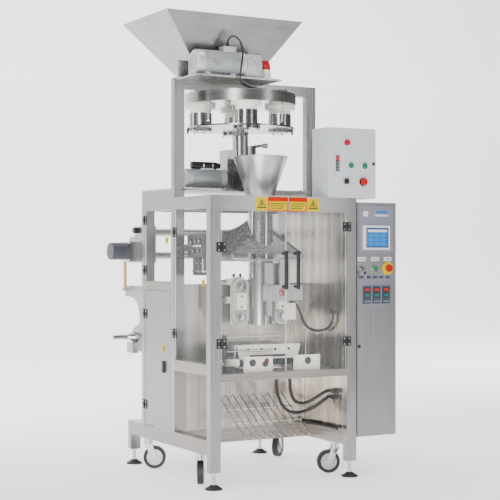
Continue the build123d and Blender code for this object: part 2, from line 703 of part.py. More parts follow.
leveller_z = shelf_top + leveller_gap + leveller_dia / 2
leveller_centre = (leveller_y, leveller_z)
terminal_z = (leveller_z + leveller_dia / 2 - 8.0, leveller_z + leveller_dia / 2 + 22.0)
with BuildPart() as leveller_motor:
    rod("X", leveller_centre, leveller_x, leveller_dia)
    rod("X", leveller_centre, (leveller_x[1], leveller_x[1] + 12.0), leveller_dia + 16.0 - leveller_gap * 2)
    bar((leveller_x[1] + 12.0, leveller_gear_right), about(leveller_y, 112.0), (shelf_top + seam, leveller_z + 54.0))
    for foot_x in ((70.0, 110.0), (220.0, 260.0)):
        bar(foot_x, about(leveller_y, 96.0), (shelf_top + seam, shelf_top + 16.0))
    bar((190.0, 262.0), (206.0, 262.0), terminal_z)
    rod("Z", (215.0, 216.0), (terminal_z[1], terminal_z[1] + 8.0), 18.0)

beacon_axis = (beacon_x, beacon_y)
with BuildPart() as beacon_light:
    rod("Z", beacon_axis, (shelf_top + seam, shelf_top + 54.0), beacon_dia)
    rod("Z", beacon_axis, (shelf_top + 54.0 + seam, shelf_top + 80.0), beacon_dia - 3.0)
    cone(beacon_axis, shelf_top + 80.0, shelf_top + 104.0, beacon_dia - 3.0, beacon_dia - 22.0)

# ---- Cabinet ---------------------------------------------------------------------------------------------------------------
cabinet_x = (cabinet_left, cabinet_right)
cabinet_z = (cabinet_low, cabinet_top)
shell_front = door_depth + door_gap
spacer_x = (frame_width + seam, cabinet_left - seam)
cabinet_hinge = (cabinet_right + hinge_dia / 2 + 0.5, door_depth + door_gap / 2)


def case_shell(x, back, z):
    """A sheet box that is open at the front."""
    bar(x, (shell_front, back), z)
    hollow_x = (x[0] + case_wall, x[1] - case_wall)
    hollow_z = (z[0] + case_wall, z[1] - case_wall)
    bar(hollow_x, (shell_front, back - case_wall), hollow_z, mode=Mode.SUBTRACT)


def case_door(x, z):
    """A pan door: a front sheet and four edge strips behind it."""
    bar(x, (0, case_wall), z)
    edge_y = (case_wall + seam, door_depth)
    for edge_x in ((x[0], x[0] + case_wall), (x[1] - case_wall, x[1])):
        bar(edge_x, edge_y, z)
    for edge_z in ((z[0], z[0] + case_wall), (z[1] - case_wall, z[1])):
        bar((x[0] + case_wall + seam, x[1] - case_wall - seam), edge_y, edge_z)


def bezel(x, z, outer, bore=0.0, base=0.0):
    """A ring round a button on the front of a door."""
    rod("Y", (z, x), (base - bezel_depth, base - seam), outer, bore)


with BuildPart() as cabinet_shell:
    case_shell(cabinet_x, cabinet_back, cabinet_z)
    bar(spacer_x, (60.0, 400.0), (side_mid_low + 8.0, side_mid_high - 8.0))
    bar(spacer_x, (60.0, 400.0), (rail_low + 4.0, cabinet_top - 8.0))
    for knuckle_z in (cabinet_low + 120.0, cabinet_top - 120.0):
        rod("Z", cabinet_hinge, about(knuckle_z, 60.0), hinge_dia)

with BuildPart() as cabinet_door:
    case_door(cabinet_x, cabinet_z)

button_stem = 24.0
stop_stem = 22.0
key_stem = 20.0
with BuildPart() as operator_panel:
    frame_y = (-4.0, -seam)
    plate_x = (cabinet_left + 10.0, cabinet_left + 235.0)
    bar(plate_x, frame_y, (1206.0, 1459.0))
    bar((cabinet_left + 32.0, cabinet_left + 208.0), (-10.0, frame_y[0] - seam), (1222.0, 1353.0))
    bar((cabinet_left + 59.0, cabinet_left + 191.0), (-11.5, -10.0 - seam), (1239.0, 1335.0))
    bar(plate_x, (-2.0, -seam), (1062.0, 1084.0))
    controllers_x = (controller_first_x - 30.0, controller_first_x + 2 * controller_step + 30.0)
    bar(controllers_x, (-2.0, -seam), about(controller_z, controller_height + 22.0))
    for index in range(3):
        controller_x = controller_first_x + index * controller_step
        bar(about(controller_x, controller_width), (-9.0, -2.0 - seam), about(controller_z, controller_height))
    for label_x in (key_x, start_x, stop_x):
        bar(about(label_x, 50.0), (-1.5, -seam), (1160.0, 1182.0))
    bezel(stop_x, panel_knob_z, 70.0, stop_stem + 2 * running)
    bezel(start_x, panel_knob_z, 36.0, button_stem + 2 * running)
    bezel(key_x, panel_knob_z, 32.0, key_stem + 2 * running)


def flush_button(x, z):
    """A button whose stem slides in its bezel."""
    with BuildPart() as button:
        rod("Y", (z, x), (-bezel_depth - 6.0, -button_stroke - 1.0), button_stem)
    return button


def mushroom_button(x, z, head_dia):
    """A stop button with a wide head."""
    head_front = -bezel_depth - button_stroke - 16.0
    with BuildPart() as button:
        rod("Y", (z, x), (head_front + 14.0, -button_stroke - 1.0), stop_stem)
        rod("Y", (z, x), (head_front, head_front + 14.0), head_dia)
        fillet(button.faces().sort_by(Axis.Y)[0].edges(), 5.0)
    return button


start_button = flush_button(start_x, panel_knob_z)
emergency_stop = mushroom_button(stop_x, panel_knob_z, 40.0)

with BuildPart() as key_switch:
    rod("Y", (panel_knob_z, key_x), (-bezel_depth - 4.0, -1.0), key_stem)
    bar(about(key_x, 2.4), (-bezel_depth - 30.0, -bezel_depth - 4.0), about(panel_knob_z, 18.0))

# ---- Control box on the header -----------------------------------------------------------------------------------------------
box_x = (box_left, box_left + box_width)
box_z = (frame_height + seam, frame_height + box_height)
box_hinge = (box_left - hinge_dia / 2 - 0.5, door_depth + door_gap / 2)
lamp_place = (box_left + 114.0, frame_height + 297.0)
counter_x = (box_left + 46.0, box_left + 66.0)
counter_z = (frame_height + 142.0, frame_height + 227.0)
box_start_place = (box_left + 139.0, frame_height + 175.0)
box_run_place = (box_left + 228.0, frame_height + 175.0)
box_selector_place = (box_left + 109.0, frame_height + 89.0)
box_stop_place = (box_left + 216.0, frame_height + 88.0)
with BuildPart() as control_box_shell:
    case_shell(box_x, box_back, box_z)
    for knuckle_z in (box_z[0] + 60.0, box_z[1] - 60.0):
        rod("Z", box_hinge, about(knuckle_z, 40.0), hinge_dia)

with BuildPart() as control_box_door:
    case_door(box_x, box_z)
    rod("Y", (lamp_place[1], lamp_place[0]), (-12.0, -seam), 32.0)
    bar(counter_x, (-4.0, -seam), counter_z)
    bezel(*box_start_place, 34.0, button_stem + 2 * running)
    bezel(*box_run_place, 34.0, button_stem + 2 * running)
    bezel(*box_selector_place, 34.0, key_stem + 2 * running)
    bezel(*box_stop_place, 48.0, stop_stem + 2 * running)

box_start_button = flush_button(*box_start_place)
box_run_button = flush_button(*box_run_place)
box_stop_button = mushroom_button(*box_stop_place, 38.0)
with BuildPart() as box_selector:
    selector_centre = (box_selector_place[1], box_selector_place[0])
    rod("Y", selector_centre, (-bezel_depth - 6.0, -1.0), key_stem)
    bar(about(box_selector_place[0], 8.0), (-bezel_depth - 18.0, -bezel_depth - 6.0), about(box_selector_place[1], 28.0))

# ---- Guard doors ------------------------------------------------------------------------------------------------------------------
front_face = Plane(origin=(0, 0, 0), x_dir=(1, 0, 0), z_dir=(0, -1, 0))
left_face = Plane(origin=(0, 0, 0), x_dir=(0, -1, 0), z_dir=(-1, 0, 0))
right_hinge_u = right_inner - 2.0
left_hinge_u = left_inner + 2.0
side_front_hinge_u = -(tall_front - 2.0)
side_rear_hinge_u = -(rear_front - 2.0)


def slab(face, across, up, depth):
    """A flat piece on a face of the machine: depth runs outwards from the face."""
    with BuildSketch(face.offset(depth[0])) as outline:
        with Locations((mid(across), mid(up))):
            Rectangle(size(across), size(up))
    extrude(outline.sketch, amount=size(depth))


def guard_door_piece(face, hinge_u, free_u, up, hinge_heights):
    """A door leaf inside its frame, with the moving halves of its hinges."""
    way = math.copysign(1.0, free_u - hinge_u)
    with BuildPart() as door:
        slab(face, sorted((hinge_u + way * 4.0, free_u)), up, (-acrylic, -seam))
        for hinge_z in hinge_heights:
            leaf_u = sorted((hinge_u + way * 4.0, hinge_u + way * (4.0 + leaf)))
            slab(face, leaf_u, about(hinge_z, leaf_height), (0, leaf_thick))
    return door


door_z = (mid_high + guard_gap, header_low - guard_gap)
side_front_z = (side_mid_high + guard_gap, rail_low - guard_gap)
side_rear_z = (waist_high + guard_gap, rail_low - guard_gap)
front_left_door = guard_door_piece(front_face, left_hinge_u, guard_split - guard_gap / 2, door_z, front_hinges_left)
front_right_door = guard_door_piece(front_face, right_hinge_u, guard_split + guard_gap / 2, door_z, front_hinges_right)
side_front_free_u = -(post_depth + guard_gap)
side_rear_free_u = -(tall_back + guard_gap)
side_front_door = guard_door_piece(left_face, side_front_hinge_u, side_front_free_u, side_front_z, side_front_hinges)
side_rear_door = guard_door_piece(left_face, side_rear_hinge_u, side_rear_free_u, side_rear_z, side_rear_hinges)
steel_z = (steel_door_low, steel_door_high)
steel_door = guard_door_piece(left_face, side_rear_hinge_u, side_rear_free_u, steel_z, steel_hinges)
with steel_door:
    slab(left_face, about(-539.0, 16.0), (556.0, 620.0), (0, 12.0))

with BuildPart() as door_hinges:
    hinge_rows = (
        (front_face, left_hinge_u, 1, front_hinges_left),
        (front_face, right_hinge_u, -1, front_hinges_right),
        (left_face, side_front_hinge_u, 1, side_front_hinges),
        (left_face, side_rear_hinge_u, 1, side_rear_hinges + steel_hinges),
    )
    for face, hinge_u, way, heights in hinge_rows:
        for hinge_z in heights:
            leaf_u = sorted((hinge_u - way * 3.6, hinge_u - way * (4.0 + leaf)))
            slab(face, leaf_u, about(hinge_z, leaf_height), (seam, leaf_thick))
            pin_at = face.offset(pin_out).from_local_coords((hinge_u, hinge_z, 0))
            rod("Z", (pin_at.X, pin_at.Y), about(hinge_z, leaf_height), pin_dia)


def door_handle_piece(handle_x):
    """A bow handle on two stand-offs."""
    with BuildPart() as handle:
        grip_y = -handle_stand
        rod("Z", (handle_x, grip_y), about(handle_z, handle_height), handle_dia)
        for post_z in (handle_z - handle_height / 2 + 14.0, handle_z + handle_height / 2 - 14.0):
            rod("Y", (post_z, handle_x), (grip_y, 0), 16.0)
    return handle


front_left_handle = door_handle_piece(left_handle_x)
front_right_handle = door_handle_piece(right_handle_x)

# ---- Film frame and roll shaft ------------------------------------------------------------------------------------------------------
plate_left = (side_plate_left + seam, side_plate_left + seam + side_plate)
plate_right = (right_inner - seam - side_plate, right_inner - seam)
plate_front = rear_front + 3.0
roller_x = (plate_left[1] + seat_gap, plate_right[0] - seat_gap)
with BuildPart() as film_frame:
    for plate_x in (plate_left, plate_right):
        upper_outline = ((plate_front, 1151), (1153, 1151), (1153, 1262), (1118, 1300), (1060, 1300), (1060, 1357))
        plate_yz(plate_x, upper_outline + ((plate_front, 1357),))
        with BuildSketch(Plane.YZ.offset(plate_x[0])) as lower_plate:
            with BuildLine():
                Polyline((1120, 951), (1195, 951), (1195, 1015), (plate_front, 1015), (plate_front, 640), (1000, 640),
                         (1080, 672), (1100, 722), (1080, 768), (993, 800), (993, 850))
                ThreePointArc((993, 850), (1030, 917), (1120, 951))
            make_face()
        extrude(lower_plate.sketch, amount=side_plate)
        rod("X", (roll_y, roll_z), plate_x, roll_dia + 2 * running, mode=Mode.SUBTRACT)
    for roller_y, roller_z in ((1120.0, 1190.0), (1010.0, 1322.0), (870.0, 1322.0), (870.0, 1190.0), (1165.0, 983.0)):
        rod("X", (roller_y, roller_z), roller_x, roller_dia)
    bar((25.0, plate_left[0] - seam), (1010.0, 1090.0), (630.0, roll_z - roll_dia / 2 - 2.0))
    coder_z = (1185.0, 1300.0)
    bar((left_inner + seam, 170.0), (200.0, 380.0), coder_z)
    bar((left_inner + seam, 72.0), (380.0 + seam, tall_back - 3.0), (1210.0, 1250.0))
    for lug_z in ((985.0, 1000.0), (1160.0, 1175.0)):
        bar((22.0, plate_left[0] - seam), (1128.0, 1152.0), lug_z)

with BuildPart() as roll_shaft:
    rod("X", (roll_y, roll_z), (50.0, plate_right[1] + 10.0), roll_dia)
    with BuildSketch(Plane.YZ.offset(7.0)) as small_end:
        with Locations((roll_y, roll_z)):
            Circle(roll_end_dia / 2)
    with BuildSketch(Plane.YZ.offset(50.0)) as big_end:
        with Locations((roll_y, roll_z)):
            Circle(roll_dia / 2)
    loft([small_end.sketch, big_end.sketch], ruled=True)
    rod("X", (roll_y, roll_z), (-80.0, 7.0), roll_end_dia)

with BuildPart() as unwind_motor:
    unwind_centre = (roll_y, unwind_z)
    rod("X", unwind_centre, (-97.0, 0), unwind_dia)
    bar((0, plate_left[0] - seam), about(roll_y, 116.0), about(unwind_z, 108.0))
    rod("X", (1000.0, 1335.0), (plate_left[0] - 34.0, plate_left[0] - seam), 34.0)

# ---- Cords ------------------------------------------------------------------------------------------------------------------------------
arc_share = 0.45           # of the shorter run, used by each tangent arc
jaw_hose_dia = 18.0
belt_cable_dia = 16.0
motor_cable_dia = 10.0
air_hose_dia = 24.0


def cord_piece(name, points, dia):
    """A round cord along straight runs joined by tangent arcs."""
    corners = [Vector(*point) for point in points]
    radii = []
    for before, here, after in zip(corners, corners[1:], corners[2:]):
        turn = math.radians((here - before).get_angle(after - here))
        shorter = min((here - before).length, (after - here).length)
        radii.append(arc_share * shorter / math.tan(turn / 2))
    with BuildPart() as cord:
        with BuildLine() as route:
            FilletPolyline(*points, radius=radii)
        with BuildSketch(Plane(origin=points[0], z_dir=corners[1] - corners[0])):
            Circle(dia / 2)
        sweep(path=route.wires()[0])
    length = route.wires()[0].length
    expected = math.pi * dia ** 2 / 4 * length
    print(name, "radii", [round(radius) for radius in radii], "length", round(length), "volume ratio",
          round(cord.part.volume / expected, 4))
    return cord


hose_start_z = shelf_z[0] - 16.0
left_hose_points = (
    (504, 200, hose_start_z), (504, 200, 500), (518, 209, 440), (548, 220, 385), (592, 232, 348), (648, 240, 330),
    (705, 230, 338), (752, 206, 362), (788, 178, 395), (808, 148, 424), (808, 110, 424),
)
right_hose_points = (
    (590, 200, hose_start_z), (590, 200, 512), (599, 208, 462), (618, 219, 416), (652, 230, 388), (700, 228, 382),
    (742, 206, 402), (780, 180, 434), (806, 150, 458), (806, 110, 458),
)
belt_cable_points = (
    (hose_gland_x[1], 360, 935), (716, 360, 935), (740, 346, 890), (745, 320, 828), (758, 286, 792), (779, 246, 776),
    (797, 198, 780), (807, 150, 796), (810, 108, 832), (810, 108, 876),
)
motor_cable_points = (
    (215, 216, terminal_z[1] + 8.0), (215, 216, 2328), (236, 200, 2356), (264, 180, 2336), (278, 166, 2290),
    (274, 156, 2238), (262, 150, 2188), (254, 148, 2140), (262, 160, 2108), (288, 194, 2103), (326, 246, 2106),
    (372, 304, 2108), (424, 358, 2110), (486, 394, 2112), (552, 403, 2109), (624, 402, 2110), (690, 402, 2110),
)
left_hose_end = left_hose_points[-1]
right_hose_end = right_hose_points[-1]
belt_cable_end = belt_cable_points[-1]
motor_cable_end = motor_cable_points[-1]
jaw_hose_left = cord_piece("jaw_hose_left", left_hose_points, jaw_hose_dia)
jaw_hose_right = cord_piece("jaw_hose_right", right_hose_points, jaw_hose_dia)
belt_cable = cord_piece("belt_cable", belt_cable_points, belt_cable_dia)
motor_cable = cord_piece("motor_cable", motor_cable_points, motor_cable_dia)
with BuildPart() as air_hose:
    rod("Z", (37.0, 1140.0), (1000.0, 1160.0), air_hose_dia)

with inner_panels:
    for hose_points in (left_hose_points, right_hose_points):
        rod("Z", hose_points[0][:2], (hose_start_z, shelf_z[0] - seam), jaw_hose_dia + 8.0)
    for hose_end in (left_hose_end, right_hose_end):
        bar((hose_end[0] - 12.0, panel_x[0] - seam), (hose_end[1] - 26.0, hose_end[1]), about(hose_end[2], 26.0))
    cable_clamp_z = (belt_cable_end[2], belt_cable_end[2] + 22.0)
    bar((belt_cable_end[0] - 11.0, panel_x[0] - seam), about(belt_cable_end[1], 24.0), cable_clamp_z)

drain_dia = 22.0
drain_x = 800.0
drain_z = base_high + seat_gap + drain_dia / 2
drain_y = (56.0, panel_y[0] - 16.0)
with inner_panels:
    rod("Y", (drain_z, drain_x), drain_y, drain_dia)
    for clip_y in (drain_y[0] + 60.0, drain_y[1] - 60.0):
        bar((drain_x + drain_dia / 2 + seam, panel_x[0] - seam), about(clip_y, 20.0), about(drain_z, 14.0))

with frame_beams:
    clamp_x = (motor_cable_end[0], motor_cable_end[0] + 24.0)
    bar(clamp_x, (motor_cable_end[1] - 8.0, tall_front - seam), about(motor_cable_end[2], 22.0))

# ---- Names, common origin and files -----------------------------------------------------------------------------------------------------------
cords = {
    "jaw_hose_left": jaw_hose_left, "jaw_hose_right": jaw_hose_right, "belt_cable": belt_cable,
    "motor_cable": motor_cable, "air_hose": air_hose,
}
machine = {
    "frame_posts": frame_posts, "frame_beams": frame_beams, "inner_panels": inner_panels,
    "levelling_feet": levelling_feet, "door_hinges": door_hinges, "forming_tube": forming_tube, "funnel": funnel,
    "forming_collar": forming_collar, "former_bracket": former_bracket, "vertical_sealer": vertical_sealer,
    "left_belt_unit": left_belt_unit, "right_belt_unit": right_belt_unit, "jaw_guides": jaw_guides,
    "front_jaw": front_jaw, "rear_jaw": rear_jaw, "chute_rods": chute_rods, "filler_base": filler_base,
    "filler_motor": filler_motor, "feed_drum": feed_drum, "cup_collars": cup_collars,
    "measuring_cups": measuring_cups, "hopper": hopper, "hopper_stand": hopper_stand,
    "leveller_motor": leveller_motor, "beacon_light": beacon_light, "cabinet_shell": cabinet_shell,
    "cabinet_door": cabinet_door, "operator_panel": operator_panel, "start_button": start_button,
    "emergency_stop": emergency_stop, "key_switch": key_switch, "control_box_shell": control_box_shell,
    "control_box_door": control_box_door, "box_start_button": box_start_button, "box_run_button": box_run_button,
    "box_stop_button": box_stop_button, "box_selector": box_selector, "front_left_door": front_left_door,
    "front_right_door": front_right_door, "front_left_handle": front_left_handle,
    "front_right_handle": front_right_handle, "side_front_door": side_front_door,
    "side_rear_door": side_rear_door, "steel_door": steel_door, "film_frame": film_frame,
    "roll_shaft": roll_shaft, "unwind_motor": unwind_motor,
}
for corner, (swivel, heading) in caster_places.items():
    machine[corner + "_caster_fork"] = caster_fork_piece(swivel, heading)
    machine[corner + "_caster_wheel"] = caster_wheel_piece(swivel, heading)

boxes = [builder.part.bounding_box() for builder in machine.values()]
extent_x = (min(box.min.X for box in boxes), max(box.max.X for box in boxes))
extent_y = (min(box.min.Y for box in boxes), max(box.max.Y for box in boxes))
origin_shift = Vector(-mid(extent_x), -mid(extent_y), -min(box.min.Z for box in boxes))
print("origin shift", origin_shift, "size", size(extent_x), size(extent_y))

os.makedirs("parts", exist_ok=True)
for label, builder in {**machine, **cords}.items():
    piece = builder.part.moved(Location(origin_shift))
    piece.label = label
    export_step(piece, f"parts/{label}.step")
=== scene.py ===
import math

import bmesh
import bpy
from mathutils import Matrix, Vector


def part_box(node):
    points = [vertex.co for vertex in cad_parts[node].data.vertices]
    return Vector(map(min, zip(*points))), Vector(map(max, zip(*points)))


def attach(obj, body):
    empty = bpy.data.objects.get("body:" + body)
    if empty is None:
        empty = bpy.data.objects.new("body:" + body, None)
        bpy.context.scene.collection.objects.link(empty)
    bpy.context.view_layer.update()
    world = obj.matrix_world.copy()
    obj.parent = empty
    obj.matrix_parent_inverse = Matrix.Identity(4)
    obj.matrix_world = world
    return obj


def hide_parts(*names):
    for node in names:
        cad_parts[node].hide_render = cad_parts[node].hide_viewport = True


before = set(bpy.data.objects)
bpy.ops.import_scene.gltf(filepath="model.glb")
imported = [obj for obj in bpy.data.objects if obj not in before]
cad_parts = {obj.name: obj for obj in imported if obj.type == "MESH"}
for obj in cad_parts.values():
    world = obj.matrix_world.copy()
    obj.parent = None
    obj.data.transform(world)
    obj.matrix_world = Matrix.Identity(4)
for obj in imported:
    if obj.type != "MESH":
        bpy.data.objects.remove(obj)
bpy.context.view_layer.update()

# Looks of the vertical form fill sealer. Sizes are in metres, and places are given in millimetres
# from the machine's front left floor corner, which at() turns into the row's frame.
posts_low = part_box("frame_posts")[0]
MM = 0.001
SCREW_HEAD = [(0, 4), (0.9, 3.6), (1.2, 2)]    # distance along the axis and radius
TUBE_X, TUBE_Y = 444, 268                      # axis of the forming tube and the funnel
FILLER_X, FILLER_Y = 444, 490                  # axis of the column and the turntable
CUP_CIRCLE = 222                               # from that axis to each cup
FIRST_CUP = -21                                # degrees from the front
CAPACITOR = (465, 1681)                        # Y and Z of the start capacitor
DOOR_LOOKS = ("acrylic", "black_metal", "acrylic_edge")


def at(x, y, z):
    """A point given in millimetres from the machine's front left floor corner."""
    return Vector((posts_low.x + x * MM, posts_low.y + y * MM, z * MM))


def add_object(name, data):
    """A new object in the scene that holds the data."""
    made = bpy.data.objects.new(name, data)
    bpy.context.scene.collection.objects.link(made)
    return made


# ---- Materials -----------------------------------------------------------------------------------
def new_material(name):
    """An empty node material and its Principled shader."""
    material = bpy.data.materials.new(name)
    material.use_nodes = True
    tree = material.node_tree
    return material, tree.nodes, tree.links, tree.nodes["Principled BSDF"]


def surface(name, color, rough=0.5, metal=0.0, grain_and_reflection_stretch=(40, 40, 40), spread=0.12, rough_spread=0.12, bump=0.0,
            detail=4.0, coat=0.0, spots=0.0, gloss=0.5):
    """Noise stretched along the brushing varies the colour, the roughness and a fine bump; on the panel
    sheet its wide vertical colour bands are painted reflections over the brushing.
    """
    material, nodes, links, shader = new_material(name)
    place = nodes.new("ShaderNodeTexCoord")
    stretch = nodes.new("ShaderNodeMapping")
    stretch.inputs["Scale"].default_value = grain_and_reflection_stretch
    noise = nodes.new("ShaderNodeTexNoise")
    noise.inputs["Scale"].default_value = 1.0
    noise.inputs["Detail"].default_value = detail
    links.new(place.outputs["Object"], stretch.inputs["Vector"])
    links.new(stretch.outputs["Vector"], noise.inputs["Vector"])
    ramp = nodes.new("ShaderNodeValToRGB")
    ramp.color_ramp.elements[0].position = 0.3
    ramp.color_ramp.elements[1].position = 0.7
    dark = [max(0.0, c * (1 - spread)) for c in color]
    light = [min(1.0, c * (1 + spread)) for c in color]
    ramp.color_ramp.elements[0].color = (*dark, 1)
    ramp.color_ramp.elements[1].color = (*light, 1)
    links.new(noise.outputs["Fac"], ramp.inputs["Fac"])
    color_out = ramp.outputs["Color"]
    if spots:
        cloud = nodes.new("ShaderNodeTexNoise")
        cloud.inputs["Scale"].default_value = 5.0
        cloud.inputs["Detail"].default_value = 3.0
        links.new(place.outputs["Object"], cloud.inputs["Vector"])
        blotch = nodes.new("ShaderNodeMix")
        blotch.data_type = "RGBA"
        blotch.blend_type = "MULTIPLY"
        blotch.inputs["B"].default_value = (1 - spots, 1 - spots, 1 - spots, 1)
        links.new(cloud.outputs["Fac"], blotch.inputs["Factor"])
        links.new(color_out, blotch.inputs["A"])
        color_out = blotch.outputs["Result"]
    links.new(color_out, shader.inputs["Base Color"])
    span = nodes.new("ShaderNodeMapRange")
    span.inputs["To Min"].default_value = max(0.02, rough - rough_spread / 2)
    span.inputs["To Max"].default_value = min(1.0, rough + rough_spread / 2)
    links.new(noise.outputs["Fac"], span.inputs["Value"])
    links.new(span.outputs["Result"], shader.inputs["Roughness"])
    shader.inputs["Metallic"].default_value = metal
    shader.inputs["Coat Weight"].default_value = coat
    shader.inputs["Specular IOR Level"].default_value = gloss
    if bump:
        relief = nodes.new("ShaderNodeBump")
        relief.inputs["Strength"].default_value = bump
        relief.inputs["Distance"].default_value = 0.001
        links.new(noise.outputs["Fac"], relief.inputs["Height"])
        links.new(relief.outputs["Normal"], shader.inputs["Normal"])
    return material


def patterned_steel():
    """Dull embossed sheet, with small raised cells."""
    material, nodes, links, shader = new_material("patterned_steel")
    place = nodes.new("ShaderNodeTexCoord")
    cells = nodes.new("ShaderNodeTexVoronoi")
    cells.inputs["Scale"].default_value = 95.0
    links.new(place.outputs["Object"], cells.inputs["Vector"])
    ramp = nodes.new("ShaderNodeValToRGB")
    ramp.color_ramp.elements[0].color = (0.56, 0.55, 0.53, 1)
    ramp.color_ramp.elements[1].color = (0.16, 0.155, 0.15, 1)
    ramp.color_ramp.elements[1].position = 0.6
    links.new(cells.outputs["Distance"], ramp.inputs["Fac"])
    links.new(ramp.outputs["Color"], shader.inputs["Base Color"])
    relief = nodes.new("ShaderNodeBump")
    relief.inputs["Strength"].default_value = 0.6
    relief.inputs["Distance"].default_value = 0.0006
    links.new(cells.outputs["Distance"], relief.inputs["Height"])
    links.new(relief.outputs["Normal"], shader.inputs["Normal"])
    shader.inputs["Metallic"].default_value = 0.9
    shader.inputs["Roughness"].default_value = 0.42
    return material


def clear_acrylic():
    """Clear sheet: mostly see-through, with a faint cool tint and a gloss that varies a little."""
    material, nodes, links, shader = new_material("clear_acrylic")
    place = nodes.new("ShaderNodeTexCoord")
    haze = nodes.new("ShaderNodeTexNoise")
    haze.inputs["Scale"].default_value = 3.0
    span = nodes.new("ShaderNodeMapRange")
    span.inputs["To Min"].default_value = 0.03
    span.inputs["To Max"].default_value = 0.09
    links.new(place.outputs["Object"], haze.inputs["Vector"])
    links.new(haze.outputs["Fac"], span.inputs["Value"])
    links.new(span.outputs["Result"], shader.inputs["Roughness"])
    shader.inputs["Base Color"].default_value = (0.80, 0.86, 0.87, 1)
    shader.inputs["Alpha"].default_value = 0.035
    material.surface_render_method = "BLENDED"
    return material


def lamp_and_painted_glow(name, color, strength, rough=0.25):
    """A lit or translucent plastic face; on the white plastic the glow is painted light that lifts its
    shaded faces.
    """
    material = surface(name, color, rough, 0.0, (30, 30, 30), 0.08, 0.08)
    shader = material.node_tree.nodes["Principled BSDF"]
    shader.inputs["Emission Color"].default_value = (*color, 1)
    shader.inputs["Emission Strength"].default_value = strength
    return material


